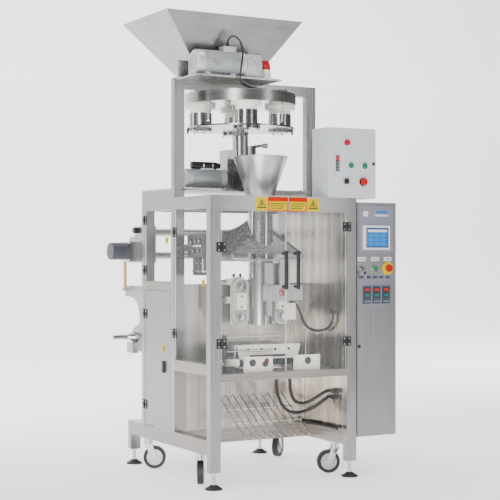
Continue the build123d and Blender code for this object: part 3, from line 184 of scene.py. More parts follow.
UPRIGHT = (160, 160, 4)
M = {
    "frame_upright": surface("frame_upright", (0.36, 0.35, 0.345), 0.24, 0.97, UPRIGHT, 0.12, 0.14, 0.05,
                             spots=0.15),
    "frame_level": surface("frame_level", (0.33, 0.305, 0.285), 0.28, 0.96, (4, 4, 160), 0.14, 0.14, 0.05,
                           spots=0.15),
    "frame_top": surface("frame_top", (0.37, 0.36, 0.35), 0.26, 0.96, (4, 4, 160), 0.12, 0.14, 0.05,
                         spots=0.15),
    # Panel sheet: brushed steel whose strong vertical colour bands are painted reflections of the
    # surroundings.
    "panel": surface("panel_sheet_painted_reflections", (0.52, 0.475, 0.43), 0.26, 0.94, (26, 26, 0.6), 0.34, 0.16, 0.03,
                     spots=0.25),
    "door_steel": surface("door_steel", (0.33, 0.33, 0.345), 0.32, 0.95, (200, 200, 3), 0.10, 0.1, 0.05,
                          spots=0.12),
    "cabinet": surface("cabinet_steel", (0.36, 0.355, 0.37), 0.34, 0.93, (300, 300, 2), 0.10, 0.12, 0.05,
                       spots=0.16),
    "sheet": surface("sheet_steel", (0.48, 0.47, 0.46), 0.28, 0.97, (90, 90, 6), 0.14, 0.14, 0.05,
                     spots=0.2),
    "hopper": surface("hopper_steel", (0.36, 0.345, 0.335), 0.30, 0.97, (5, 60, 5), 0.12, 0.16, 0.05,
                      spots=0.3),
    "funnel": surface("funnel_steel", (0.56, 0.545, 0.535), 0.30, 0.97, (50, 50, 4), 0.10, 0.12, 0.04,
                      spots=0.12),
    "tube": surface("tube_steel", (0.62, 0.61, 0.60), 0.20, 1.0, (70, 70, 3), 0.10, 0.12, 0.03, spots=0.15),
    "drum": surface("drum_steel", (0.42, 0.41, 0.40), 0.30, 0.98, (10, 10, 160), 0.16, 0.14, 0.05,
                    spots=0.25),
    "cup": surface("cup_steel", (0.40, 0.40, 0.41), 0.24, 1.0, (50, 50, 50), 0.12, 0.1, 0.03, spots=0.2),
    "polished": surface("polished_steel", (0.60, 0.59, 0.58), 0.17, 1.0, (60, 60, 60), 0.10, 0.1, 0.02),
    "aluminium": surface("aluminium_plate", (0.44, 0.435, 0.43), 0.34, 0.92, (90, 90, 8), 0.14, 0.14, 0.05,
                         spots=0.2),
    "cast": surface("cast_gear_case", (0.52, 0.54, 0.56), 0.5, 0.35, (300, 300, 300), 0.14, 0.15, 0.25),
    "motor": surface("motor_paint", (0.58, 0.60, 0.62), 0.42, 0.35, (260, 260, 260), 0.08, 0.1, 0.1,
                     coat=0.2),
    "dark_motor": surface("dark_motor_paint", (0.085, 0.085, 0.115), 0.42, 0.25, (260, 260, 260), 0.14, 0.1,
                          0.12),
    "mechanism": surface("dark_mechanism", (0.10, 0.095, 0.095), 0.45, 0.6, (120, 120, 120), 0.3, 0.2, 0.12),
    "box_paint": surface("box_paint", (0.62, 0.66, 0.70), 0.42, 0.0, (500, 500, 500), 0.03, 0.06, 0.08,
                         coat=0.2),
    # White plastic: a bright base with a faint glow, which is painted light lifting every white part out of
    # shade.
    "white": lamp_and_painted_glow("white_plastic", (0.90, 0.87, 0.78), 0.22, 0.42),
    "panel_white": surface("panel_white", (0.72, 0.75, 0.78), 0.35, 0.0, (80, 80, 80), 0.02, 0.08),
    "panel_grey": surface("panel_grey", (0.25, 0.26, 0.31), 0.40, 0.3, (200, 200, 4), 0.06, 0.08),
    "belt": surface("belt_white", (0.70, 0.69, 0.64), 0.6, 0.0, (400, 60, 400), 0.08, 0.1, 0.2),
    "black": surface("black_plastic", (0.012, 0.012, 0.014), 0.34, 0.0, (160, 160, 160), 0.2, 0.16, 0.08),
    "black_metal": surface("black_hinge", (0.016, 0.016, 0.018), 0.34, 0.3, (160, 160, 160), 0.2, 0.12,
                           0.08),
    "rubber": surface("black_rubber", (0.014, 0.014, 0.016), 0.55, 0.0, (220, 220, 220), 0.2, 0.2, 0.15),
    "cord": surface("cord_rubber", (0.016, 0.016, 0.018), 0.40, 0.0, (420, 420, 90), 0.25, 0.16, 0.1,
                    coat=0.1),
    "hub": surface("wheel_hub", (0.50, 0.51, 0.52), 0.36, 0.5, (140, 140, 140), 0.08, 0.1, 0.05),
    "screen": lamp_and_painted_glow("screen_blue", (0.02, 0.16, 0.46), 0.25, 0.18),
    "screen_tile": lamp_and_painted_glow("screen_tile", (0.035, 0.21, 0.52), 0.25, 0.18),
    "digits_red": lamp_and_painted_glow("digits_red", (0.50, 0.01, 0.01), 0.15),
    "digits_green": lamp_and_painted_glow("digits_green", (0.01, 0.16, 0.12), 0.1),
    "controller": surface("controller_case", (0.04, 0.05, 0.09), 0.4, 0.0, (90, 90, 90), 0.1, 0.1),
    "red": surface("red_plastic", (0.45, 0.003, 0.008), 0.32, 0.0, (60, 60, 60), 0.08, 0.1, gloss=0.3),
    "red_lens": lamp_and_painted_glow("red_lens", (0.42, 0.004, 0.01), 0.12, 0.16),
    "green": surface("green_plastic", (0.003, 0.20, 0.08), 0.32, 0.0, (60, 60, 60), 0.08, 0.1, gloss=0.3),
    "yellow": surface("sticker_yellow", (0.62, 0.46, 0.0), 0.6, 0.0, (60, 60, 60), 0.03, 0.08, gloss=0.05),
    "yellow_ring": surface("ring_yellow", (0.66, 0.50, 0.0), 0.5, 0.0, (60, 60, 60), 0.05, 0.08, gloss=0.1),
    "sticker_red": surface("sticker_red", (0.55, 0.02, 0.0), 0.6, 0.0, (60, 60, 60), 0.04, 0.08, gloss=0.05),
    "sticker_black": surface("sticker_black", (0.015, 0.015, 0.012), 0.42, 0.0, (60, 60, 60), 0.1, 0.08),
    "hose_yellow": surface("hose_yellow", (0.62, 0.46, 0.0), 0.35, 0.0, (90, 90, 90), 0.05, 0.08, gloss=0.2),
    "acrylic": clear_acrylic(),
    "acrylic_edge": surface("acrylic_edge", (0.78, 0.84, 0.84), 0.3, 0.0, (60, 60, 60), 0.04, 0.1),
    "patterned": patterned_steel(),
}


# ---- CAD nodes: material by where a face lies ----------------------------------------------------
def dress(node, *names, rule=None):
    """Gives a CAD node its materials. The rule turns a face's centre, in machine mm, into an index."""
    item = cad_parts[node]
    mesh = item.data
    mesh.materials.clear()
    for name in names:
        mesh.materials.append(M[name])
    for face in mesh.polygons:
        spot = (face.center - at(0, 0, 0)) / MM
        face.material_index = rule(spot, face.normal) if rule else 0
    return item


def soften(node, width=0.0015, segments=2):
    """Rounds a CAD node's sharp edges a little, so that they catch the light."""
    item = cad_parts[node]
    bevel = item.modifiers.new("edge", "BEVEL")
    bevel.width = width
    bevel.segments = segments
    bevel.limit_method = "ANGLE"
    bevel.angle_limit = math.radians(50)
    bevel.harden_normals = False


# ---- Mesh maker: many small forms in one piece ---------------------------------------------------
class Maker:
    """Collects boxes, rods and turned forms, in machine millimetres, into one piece."""

    def __init__(self, name):
        self.name = name
        self.mesh = bmesh.new()
        self.materials = []

    def index(self, material):
        if material not in self.materials:
            self.materials.append(material)
        return self.materials.index(material)

    def _paint(self, verts, material):
        slot = self.index(material)
        faces = {face for vert in verts for face in vert.link_faces}
        for face in faces:
            face.material_index = slot

    def box(self, x, y, z, material, turn=None):
        """A block between limits, optionally turned by a matrix about its middle."""
        middle = at((x[0] + x[1]) / 2, (y[0] + y[1]) / 2, (z[0] + z[1]) / 2)
        size = Matrix.Diagonal(((x[1] - x[0]) * MM, (y[1] - y[0]) * MM, (z[1] - z[0]) * MM, 1))
        place = Matrix.Translation(middle) @ (turn.to_4x4() if turn else Matrix.Identity(4)) @ size
        made = bmesh.ops.create_cube(self.mesh, size=1.0, matrix=place)
        self._paint(made["verts"], material)

    def rod(self, start, end, dia, material, end_dia=None, segments=28):
        """A round bar or cone between two points."""
        a, b = at(*start), at(*end)
        line = b - a
        turn = line.to_track_quat("Z", "Y").to_matrix().to_4x4()
        place = Matrix.Translation((a + b) / 2) @ turn
        near, far = dia / 2 * MM, (dia if end_dia is None else end_dia) / 2 * MM
        made = bmesh.ops.create_cone(self.mesh, cap_ends=True, segments=segments, radius1=near, radius2=far,
                                     depth=line.length, matrix=place)
        self._paint(made["verts"], material)

    def turned(self, base, axis, profile, material, segments=48):
        """A form turned about an axis: the profile is (distance along the axis, radius) in millimetres."""
        start = at(*base)
        turn = Vector(axis).to_track_quat("Z", "Y").to_matrix()
        rings = []
        for along, radius in profile:
            ring = []
            for step in range(segments):
                angle = 2 * math.pi * step / segments
                local = Vector((radius * math.cos(angle), radius * math.sin(angle), along)) * MM
                ring.append(self.mesh.verts.new(start + turn @ local))
            rings.append(ring)
        slot = self.index(material)
        for low, high in zip(rings, rings[1:]):
            for step in range(segments):
                after = (step + 1) % segments
                face = self.mesh.faces.new((low[step], low[after], high[after], high[step]))
                face.material_index = slot
        for ring, flip in ((rings[0], True), (rings[-1], False)):
            if profile[0][1] > 0 and profile[0] != profile[-1]:
                face = self.mesh.faces.new(ring[::-1] if flip else ring)
                face.material_index = slot

    def prism(self, points, direction, material):
        """A flat outline of machine points, made thick along a direction in millimetres."""
        offset = Vector(direction) * MM
        near = [self.mesh.verts.new(at(*point)) for point in points]
        far = [self.mesh.verts.new(at(*point) + offset) for point in points]
        slot = self.index(material)
        faces = [near[::-1], far]
        for i in range(len(points)):
            j = (i + 1) % len(points)
            faces.append((near[i], near[j], far[j], far[i]))
        for corners in faces:
            self.mesh.faces.new(corners).material_index = slot

    def finish(self, body, bevel=0.0, segments=2, replaces=(), smooth=True):
        """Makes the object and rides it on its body."""
        bmesh.ops.recalc_face_normals(self.mesh, faces=self.mesh.faces)
        data = bpy.data.meshes.new(self.name)
        self.mesh.to_mesh(data)
        self.mesh.free()
        for name in self.materials:
            data.materials.append(M[name])
        piece = add_object(self.name, data)
        if smooth:
            data.shade_smooth()
            data.set_sharp_from_angle(angle=math.radians(35))
        if bevel:
            edge = piece.modifiers.new("edge", "BEVEL")
            edge.width = bevel
            edge.segments = segments
            edge.limit_method = "ANGLE"
            edge.angle_limit = math.radians(40)
        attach(piece, body)
        if replaces:
            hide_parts(*replaces)
        return piece


# ---- Frame, panels and feet ----------------------------------------------------------------------
dress("frame_posts", "frame_upright")
dress("frame_beams", "frame_level", "frame_top", rule=lambda spot, normal: 1 if spot.z > 1430 else 0)
dress("inner_panels", "panel", "black", rule=lambda spot, normal: 1 if spot.x < 825.7 and (
    (spot.y < 135 and spot.x > 790 and 400 < spot.z < 900) or
    (480 < spot.x < 620 and 560 < spot.z < 578.9 and spot.y < 220) or
    (spot.x > 785 and spot.z < 273 and spot.y < 412)) else 0)
dress("levelling_feet", "rubber", "polished", rule=lambda spot, normal: 1 if spot.z > 25 else 0)
PLAIN = {
    "black_metal": ("door_hinges",),
    "tube": ("forming_tube",),
    "funnel": ("funnel",),
    "patterned": ("forming_collar",),
    "aluminium": ("former_bracket", "vertical_sealer", "rear_jaw"),
    "polished": ("chute_rods", "key_switch", "roll_shaft"),
    "sheet": ("filler_base", "hopper_stand"),
    "drum": ("feed_drum",),
    "white": ("cup_collars",),
    "cup": ("measuring_cups",),
    "hopper": ("hopper",),
    "cabinet": ("cabinet_shell", "cabinet_door"),
    "box_paint": ("control_box_shell",),
    "green": ("start_button", "box_start_button", "box_run_button"),
    "red": ("emergency_stop", "box_stop_button"),
    "black": ("box_selector", "front_left_handle", "front_right_handle"),
}
for look, names in PLAIN.items():
    for name in names:
        dress(name, look)


def door_look(spot, normal):
    """Clear sheet with bright cut edges, and black hinge halves in front of it."""
    if spot.y < -0.05 or spot.x < -0.05:
        return 1
    front_sheet = abs(normal.y) > 0.9 and -0.3 < spot.y < 7
    side_sheet = abs(normal.x) > 0.9 and -0.3 < spot.x < 7
    return 0 if front_sheet or side_sheet else 2


def belt_look(spot, normal):
    """Belt loop, black clamp knobs and aluminium plates."""
    if spot.z > 1074:
        return 1
    if spot.y < 243 and abs(spot.x - TUBE_X) > 130:
        return 2 if spot.x > 560 else 1
    if 247 < spot.y < 289:
        return 0
    return 2


for name in ("left_belt_unit", "right_belt_unit"):
    dress(name, "belt", "black", "white", rule=belt_look)
dress("jaw_guides", "white", "polished", "black", rule=lambda spot, normal: (
    1 if spot.y > 79 and spot.y < 391.5 and spot.z < 650 and spot.x > 250 else
    1 if spot.z > 681 and spot.x > 171 else 2 if spot.x < 175 else 0))
dress("front_jaw", "white", "black", "polished", rule=lambda spot, normal: (
    1 if spot.z < 664 else 2 if spot.y > 206 else 0))

# ---- Filler, hopper and leveller -----------------------------------------------------------------
dress("filler_motor", "motor", "black", rule=lambda spot, normal: 1 if spot.z > 1655 else 0)
dress("leveller_motor", "motor", "cast", rule=lambda spot, normal: 1 if spot.x > 298 else 0)
dress("beacon_light", "white", "red_lens", rule=lambda spot, normal: 1 if spot.z > 2190.1 else 0)

# ---- Cabinets and controls -----------------------------------------------------------------------


def panel_look(spot, normal):
    """Screen plate, bezel, screen, controllers, labels and button rings."""
    if spot.z > 1200:
        if spot.y < -10.1:
            return 2
        return 1 if spot.y < -4.1 else 0
    if spot.z > 1159:
        return 3
    if 1085 < spot.z < 1157:
        return 4 if spot.x > 1050 else 6
    if spot.z > 1055:
        return 0
    return 5 if spot.y < -2.1 else 0


dress("operator_panel", "panel_grey", "panel_white", "screen", "panel_white", "yellow_ring", "controller",
      "polished", rule=panel_look)


def box_look(spot, normal):
    """Painted door with its lamp, counter and button rings."""
    if spot.y > -0.1:
        return 0
    if spot.z > 1770:
        return 1
    if spot.x < 780:
        return 2
    return 3


dress("control_box_door", "box_paint", "red_lens", "black", "polished", rule=box_look)

# ---- Doors ---------------------------------------------------------------------------------------
for name in ("front_left_door", "front_right_door", "side_front_door", "side_rear_door"):
    dress(name, *DOOR_LOOKS, rule=door_look)
dress("steel_door", "door_steel", "black_metal", rule=lambda spot, normal: 1 if spot.x < -0.05 else 0)

# ---- Film side and casters -----------------------------------------------------------------------
dress("film_frame", "aluminium", "polished", "mechanism", rule=lambda spot, normal: (
    2 if spot.y < 455 else 1 if 70.4 < spot.x < 817.5 else 0))
dress("unwind_motor", "dark_motor", "polished", "black", rule=lambda spot, normal: (
    2 if spot.z > 1316 else 1 if spot.x > -0.5 else 0))
for corner in ("front_left", "front_right", "rear_left", "rear_right"):
    dress(corner + "_caster_fork", "polished")
    low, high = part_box(corner + "_caster_wheel")
    hub = (low + high) / 2
    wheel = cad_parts[corner + "_caster_wheel"]
    wheel.data.materials.clear()
    wheel.data.materials.append(M["rubber"])
    wheel.data.materials.append(M["hub"])
    for face in wheel.data.polygons:
        reach = max((wheel.data.vertices[i].co - hub).length for i in face.vertices)
        face.material_index = 1 if reach < 0.0475 else 0

for name in ("frame_posts", "frame_beams", "hopper_stand", "former_bracket", "control_box_door",
             "control_box_shell",
             "cabinet_door", "cabinet_shell", "unwind_motor", "leveller_motor", "filler_base"):
    soften(name, 0.0012)
for name in ("left_belt_unit", "right_belt_unit", "front_jaw", "jaw_guides", "front_left_handle",
             "front_right_handle",
             "operator_panel", "box_selector", "film_frame", "vertical_sealer", "steel_door", "roll_shaft"):
    soften(name, 0.0008)
for name in ("cup_collars", "levelling_feet", "beacon_light"):
    soften(name, 0.002, 3)


# ---- Motors --------------------------------------------------------------------------------------
def finned_case(make, axis, run, core, outer, fins, material):
    """A motor barrel along X with fins along its length."""
    y, z = axis
    make.rod((run[0], y, z), (run[1], y, z), core, material, segments=64)
    middle = (core / 2 + outer / 2) / 2 - 1.0
    for step in range(fins):
        angle = 2 * math.pi * step / fins
        turn = Matrix.Rotation(-angle, 3, "X")
        centre = (y + middle * math.sin(angle), z + middle * math.cos(angle))
        tall = (outer - core) / 2 + 2.0
        make.box((run[0] + 2, run[1] - 2), (centre[0] - 1.1, centre[0] + 1.1),
                 (centre[1] - tall / 2, centre[1] + tall / 2), material, turn)


def fan_cowl(make, axis, run, dia, material):
    """A pressed cowl with a round grille of dark slots on its end."""
    y, z = axis
    deep = run[1] - run[0]
    profile = [(0, dia * 0.30), (0.4, dia * 0.42), (4, dia * 0.475), (11, dia * 0.498), (deep, dia * 0.5)]
    make.turned((run[0], y, z), (1, 0, 0), profile, material, 64)
    for ring in range(4):
        radius = dia * (0.10 + 0.065 * ring)
        for step in range(8):
            angle = math.pi * (step + 0.5) / 4
            turn = Matrix.Rotation(-angle, 3, "X")
            spot = (y + radius * math.sin(angle), z + radius * math.cos(angle))
            half = radius * 0.30
            make.box((run[0] - 0.3, run[0] + 1.0), (spot[0] - half, spot[0] + half),
                     (spot[1] - 1.7, spot[1] + 1.7),
                     "black", turn)


motor = Maker("leveller_motor_body")
axis = (238, 2206)
finned_case(motor, axis, (62, 284), 112, 132, 36, "motor")
fan_cowl(motor, axis, (24.5, 66), 131, "motor")
motor.turned((280, *axis), (1, 0, 0), [(0, 58), (2, 64), (18, 66), (18.5, 69.5), (30, 69.5), (30.5, 40)],
             "motor", 64)
for foot in ((70, 110), (220, 260)):
    middle = (foot[0] + foot[1]) / 2
    motor.box(foot, (190, 286), (2136.3, 2144), "motor")
    motor.box((foot[0] + 4, foot[1] - 4), (200, 276), (2144, 2156), "motor")
    for y in (196, 280):
        motor.rod((middle, y, 2144), (middle, y, 2149), 10, "polished", segments=6)
motor.box((190, 262), (206, 262), (2264, 2286), "motor")
motor.box((187, 265), (203, 265), (2286.2, 2293.8), "motor")
for x in (193, 259):
    for y in (208, 260):
        motor.rod((x, y, 2293.6), (x, y, 2295.4), 6, "polished", segments=16)
motor.rod((215, 216, 2293.8), (215, 216, 2301.6), 18, "black", segments=6)
motor.box((120, 160), (169.5, 171.5), (2190, 2216), "aluminium")
motor.finish("frame", 0.0012, replaces=("leveller_motor",))

gear = Maker("leveller_gear_case")
gear.box((311, 412), (182, 294), (2136.3, 2260), "cast")
gear.finish("frame", 0.012, 4)
cover = Maker("leveller_gear_cover")
cover.turned((361, 183, 2198), (0, -1, 0), [(0, 46), (5, 46), (7, 43), (7, 22), (12, 20), (13.5, 16)],
             "cast", 64)
cover.turned((361, 238, 2259), (0, 0, 1), [(0, 30), (4, 29), (5, 18), (7, 17)], "cast", 48)
for step in range(6):
    angle = math.pi * (step + 0.5) / 3
    spot = (361 + 38 * math.cos(angle), 2198 + 38 * math.sin(angle))
    cover.rod((spot[0], 177, spot[1]), (spot[0], 173.5, spot[1]), 7.5, "polished", segments=6)
cover.rod((411, 238, 2198), (420, 238, 2198), 44, "cast", end_dia=38)
cover.finish("frame", 0.0006)

motor = Maker("filler_motor_body")
axis = (485, 1611)
finned_case(motor, axis, (124, 304), 86, 104, 30, "motor")
fan_cowl(motor, axis, (89.5, 128), 103, "motor")
motor.turned((300, *axis), (1, 0, 0), [(0, 46), (2, 50), (20, 52), (28.5, 52), (28.6, 57.8), (29.8, 57.8)],
             "motor", 64)
motor.box((180, 260), (452, 478), (1655, 1672), "motor")
motor.finish("frame", 0.001, replaces=("filler_motor",))
capacitor = Maker("start_capacitor")
capacitor.turned((125.5, *CAPACITOR), (1, 0, 0),
                 [(0, 15), (1.5, 18.5), (5, 19.6), (150, 19.8), (152, 18), (160, 18),
                                                (163, 15), (174, 14.5)], "black", 56)
for x in (190, 246):
    capacitor.turned((x, *CAPACITOR), (1, 0, 0), [(0, 19.9), (0, 20.4), (9, 20.4), (9, 19.9)], "polished",
                     56)
capacitor.finish("frame", 0.0005)

motor = Maker("unwind_motor_detail")
for x in (-88, -76, -64, -52, -40, -28, -16):
    motor.turned((x, 1050, 1215), (1, 0, 0), [(0, 48.3), (0.6, 49.4), (4.4, 49.4), (5, 48.3)], "dark_motor",
                 56)
for y in (1002, 1098):
    for z in (1171, 1259):
        motor.rod((-0.2, y, z), (-5, y, z), 10, "polished", segments=6)
motor.finish("frame", 0.0004)

# ---- Screws, nuts and hinges ---------------------------------------------------------------------
FRONT = {"front_left_door": (62, 1, (741, 1234)), "front_right_door": (826, -1, (732, 1345))}
LEFT = {"side_front_door": (411, (776, 1315)), "side_rear_door": (785, (1110, 1387)),
        "steel_door": (785, (363, 867))}
fixed = Maker("hinge_screws")
for door, (hinge, way, heights) in FRONT.items():
    moving = Maker(door + "_hinge_screws")
    for z in heights:
        for dz in (-15, 15):
            moving.turned((hinge + way * 16, -3.8, z + dz), (0, -1, 0), SCREW_HEAD, "polished", 20)
            fixed.turned((hinge - way * 15, -3.8, z + dz), (0, -1, 0), SCREW_HEAD, "polished", 20)
    moving.finish(door)
for door, (hinge, heights) in LEFT.items():
    moving = Maker(door + "_hinge_screws")
    for z in heights:
        for dz in (-15, 15):
            moving.turned((-3.8, hinge - 16, z + dz), (-1, 0, 0), SCREW_HEAD, "polished", 20)
            fixed.turned((-3.8, hinge + 15, z + dz), (-1, 0, 0), SCREW_HEAD, "polished", 20)
    moving.finish(door)
fixed.finish("frame")

nuts = Maker("foot_nuts")
for x in (30, 858):
    for y in (20, 995):
        nuts.rod((x, y, 72), (x, y, 85.8), 27, "polished", segments=6)
        nuts.rod((x, y, 26), (x, y, 34), 27, "polished", segments=6)
        for turn in range(10):
            z = 37 + turn * 3.4
            nuts.turned((x, y, z), (0, 0, 1), [(0, 7.9), (1.0, 8.7), (2.0, 7.9)], "polished", 24)
nuts.finish("frame", 0.0004)

bolts = Maker("filler_bolts")
for x in (340, 380, 460, 500):
    bolts.rod((x, 430, 1570), (x, 428, 1570), 9, "polished", segments=6)
    bolts.rod((x, 430, 1660), (x, 426, 1660), 12, "polished", segments=6)
for x in (100, 300, 600, 780):
    bolts.rod((x, 400, 1552.2), (x, 400, 1558), 15, "polished", segments=6)
for x in (204, 652):
    for z in (1300, 1380):
        bolts.rod((x, 380, z), (x, 376, z), 4, "polished", segments=6)
bolts.turned((FILLER_X, FILLER_Y, 1680.4), (0, 0, 1), [(0, 62), (7, 62), (8, 58), (8, 46)], "sheet", 64)
bolts.finish("frame", 0.0004)

column = Maker("column_bands")
for z in (1715, 1838):
    column.turned((FILLER_X, FILLER_Y, z), (0, 0, 1), [(0, 43.6), (0, 46.5), (9, 46.5), (9, 43.6)],
                  "polished", 56)
column.finish("frame", 0.0005)

# ---- Cups, gates and feed drum -------------------------------------------------------------------
gates = Maker("cup_gates")
rims = Maker("cup_rims")
spread = Maker("drum_fittings")
for step in range(4):
    angle = math.radians(FIRST_CUP + 90 * step)
    x, y = FILLER_X + CUP_CIRCLE * math.sin(angle), FILLER_Y - CUP_CIRCLE * math.cos(angle)
    out = (math.sin(angle), -math.cos(angle))
    side = (-out[1], out[0])
    turn = Matrix.Rotation(angle, 3, "Z")
    for reach in (-1, 1):
        gx, gy = x + side[0] * 66 * reach, y + side[1] * 66 * reach
        gates.box((gx - 6, gx + 6), (gy - 36, gy + 36), (1872, 1888.6), "polished", turn)
        for end in (-24, 24):
            bx, by = gx + out[0] * end, gy + out[1] * end
            gates.rod((bx, by, 1897.2), (bx, by, 1903), 12, "polished", segments=6)
            gates.rod((bx, by, 1866), (bx, by, 1872), 9, "polished", segments=20)
    px, py = x + out[0] * 70, y + out[1] * 70
    gates.rod((px, py, 1862), (px, py, 1888.5), 11, "black", segments=24)
    gates.rod((x, y, 1874), (x, y, 1880.6), 124, "sheet", segments=56)
    rims.turned((x, y, 1971), (0, 0, 1), [(0, 62.7), (0.4, 63.8), (3.6, 63.8), (4, 62.7)], "polished", 64)
    rims.turned((x, y, 1897.4), (0, 0, 1), [(0, 62.7), (0, 66), (5, 66), (5, 62.7)], "polished", 64)
    for corner in range(4):
        turn_angle = angle + math.pi / 4 + corner * math.pi / 2
        sx, sy = x + 74 * math.cos(turn_angle), y + 74 * math.sin(turn_angle)
        spread.rod((sx, sy, 1998), (sx, sy, 2001.8), 9, "polished", segments=6)
gates.finish("volume_plate", 0.0008)
rims.finish("volume_plate")
spread.turned((FILLER_X, FILLER_Y, 2079), (0, 0, 1), [(0, 308.0), (0.6, 309.6), (2.0, 309.6), (2.6, 308.0)],
              "tube", 128)
spread.turned((FILLER_X, FILLER_Y, 2020), (0, 0, 1), [(0, 300), (0, 307.6), (1.9, 307.6), (1.9, 300)],
              "tube", 128)
for step in range(4):
    angle = math.radians(24 + 90 * step)
    rx, ry = FILLER_X + 285 * math.sin(angle), FILLER_Y - 285 * math.cos(angle)
    spread.rod((rx, ry, 1916), (rx, ry, 2021.8), 12, "polished", segments=24)
    spread.rod((rx, ry, 1912), (rx, ry, 1920), 20, "polished", segments=6)
spread.finish("turntable", 0.0003)

# ---- Funnel, tube and collar trims ---------------------------------------------------------------
trim = Maker("funnel_rim")
trim.turned((TUBE_X, TUBE_Y, 1721), (0, 0, 1),
            [(0, 149.2), (0.2, 151.6), (1.6, 152.6), (3, 151.6), (3.8, 149.0)], "funnel", 96)
trim.turned((TUBE_X, TUBE_Y, 1467.2), (0, 0, 1), [(0, 75), (0, 67), (3.5, 67), (6, 62)], "sheet", 72)
for step in range(4):
    angle = math.pi / 4 + step * math.pi / 2
    x, y = TUBE_X + 69 * math.cos(angle), TUBE_Y + 69 * math.sin(angle)
    trim.rod((x, y, 1467.2), (x, y, 1471.5), 8, "polished", segments=6)
trim.finish("frame")

# ---- Jaw blocks, cylinders and belt parts --------------------------------------------------------
jaws = Maker("jaw_block_detail")
for x0, x1 in ((235, 323), (538, 694)):
    for x in (x0 + 12, x1 - 12):
        for z in (600, 650):
            jaws.rod((x, 60, z), (x, 56.5, z), 9, "polished", segments=20)
    jaws.turned(((279 if x0 < 300 else 616), 60, 632), (0, -1, 0), [(0, 19), (4, 19), (5, 17), (5, 9)],
                "black", 48)
jaws.turned((117.5, 100, 632), (-1, 0, 0), [(0, 20.5), (3, 19), (5, 12)], "polished", 40)
jaws.turned((213.5, 100, 632), (1, 0, 0), [(0, 20.5), (6, 19), (8, 9), (20, 8)], "black", 40)
jaws.rod((352, 60, 624), (352, 50, 624), 30, "black", segments=40)
jaws.rod((382, 60, 606), (382, 54, 606), 18, "polished", segments=30)
jaws.finish("frame", 0.0006)
jaw_front = Maker("front_jaw_detail")
for x in (318, 402, 486, 570):
    jaw_front.rod((x, 180.8, 690), (x, 176.5, 690), 14, "black", segments=30)
jaw_front.box((330, 558), (179, 180.9), (650, 662), "black")
jaw_front.finish("front_jaw", 0.0005)
for name, side in (("left_belt_unit", -1), ("right_belt_unit", 1)):
    centre = TUBE_X + side * 126.5
    belts = Maker(name + "_detail")
    for z in (860, 1028):
        belts.turned((centre, 240, z), (0, -1, 0), [(0, 15), (3, 15), (4, 12), (4, 4)], "polished", 40)
        belts.turned((centre, 247.8, z), (0, -1, 0), [(0, 34), (1.2, 34), (1.6, 31)], "aluminium", 56)
    belts.box((centre - 30, centre + 30), (244.4, 247.6), (900, 988), "white")
    for z in (915, 973):
        belts.rod((centre, 244.4, z), (centre, 241.5, z), 11, "black", segments=24)
    belts.finish(name, 0.0006)

coder = Maker("coder_detail")
coder.box((64, 166), (196.5, 199.8), (1190, 1295), "mechanism")
for z in (1205, 1240, 1275):
    coder.rod((115, 199.8, z), (115, 186, z), 26, "polished", segments=36)
    coder.rod((84, 199.8, z), (84, 190, z), 12, "black", segments=24)
for y, z, dia in ((230, 1268, 34), (275, 1268, 26), (330, 1262, 40), (240, 1215, 22), (300, 1214, 30),
                  (350, 1206, 20)):
    coder.turned((60.0, y, z), (-1, 0, 0), [(0, dia / 2), (6, dia / 2), (7, dia / 2 - 2), (7, 4), (9, 3)],
                 "black", 32)
    coder.turned((52.8, y, z), (-1, 0, 0), [(0, dia / 5), (2, dia / 5), (2.5, 2)], "polished", 24)
coder.box((56, 60), (215, 370), (1236, 1246), "polished")
for y in (236, 298, 352):
    coder.box((84, 104), (y - 9, y + 9), (1100, 1184.8), "mechanism")
    coder.rod((80, y, 1108), (150, y, 1108), 20, "polished", segments=32)
coder.rod((94, 215, 1150), (94, 372, 1150), 12, "polished", segments=28)
coder.box((84, 104), (227, 361), (1086, 1100), "black")
coder.finish("frame", 0.0008)


# ---- Stickers: plain shapes with no lettering ----------------------------------------------------
def warning_triangle(make, centre, wide, face, depth):
    """A yellow plate with a black-edged triangle; face is 'front' or 'left'."""
    u, z = centre
    half, tall = wide / 2, wide * 0.44

    def spot(du, dz, out):
        return (u + du, depth - out, z + dz) if face == "front" else (depth - out, u + du, z + dz)

    step = (0, -0.25, 0) if face == "front" else (-0.25, 0, 0)
    outline = ((-half, -half), (half, -half), (half, half), (-half, half))
    make.prism([spot(a, b, 0.05) for a, b in outline], step, "yellow")
    black = ((-half * 0.78, -tall * 0.72), (half * 0.78, -tall * 0.72), (0, tall * 0.86))
    make.prism([spot(a, b, 0.3) for a, b in black], step, "sticker_black")
    inner = ((-half * 0.54, -tall * 0.52), (half * 0.54, -tall * 0.52), (0, tall * 0.52))
    make.prism([spot(a, b, 0.55) for a, b in inner], step, "yellow")
    mark = ((-half * 0.10, -tall * 0.36), (half * 0.10, -tall * 0.36), (half * 0.14, tall * 0.2),
            (-half * 0.14, tall * 0.2))
    make.prism([spot(a, b, 0.8) for a, b in mark], step, "sticker_black")


stickers = Maker("header_stickers")
for x in (300, 614):
    warning_triangle(stickers, (x, 1458), 70, "front", 0)
for x0, x1 in ((338, 458), (462, 576)):
    for grow, out, look in ((0, 0.05, "sticker_red"), (5, 0.3, "yellow")):
        corners = ((x0 + grow, 1421 + grow), (x1 - grow, 1421 + grow), (x1 - grow, 1496 - grow),
                   (x0 + grow, 1496 - grow))
        stickers.prism([(x, -out, z) for x, z in corners], (0, -0.25, 0), look)
    corners = ((x0 + 5, 1473), (x1 - 5, 1473), (x1 - 5, 1491), (x0 + 5, 1491))
    stickers.prism([(x, -0.55, z) for x, z in corners], (0, -0.25, 0), "sticker_red")
    for row in range(3):
        z = 1461 - 12 * row
        corners = ((x0 + 14, z - 2), (x1 - 14 - 8 * row, z - 2), (x1 - 14 - 8 * row, z + 2),
                   (x0 + 14, z + 2))
        stickers.prism([(x, -0.55, zz) for x, zz in corners], (0, -0.2, 0), "sticker_black")
stickers.finish("frame", smooth=False)
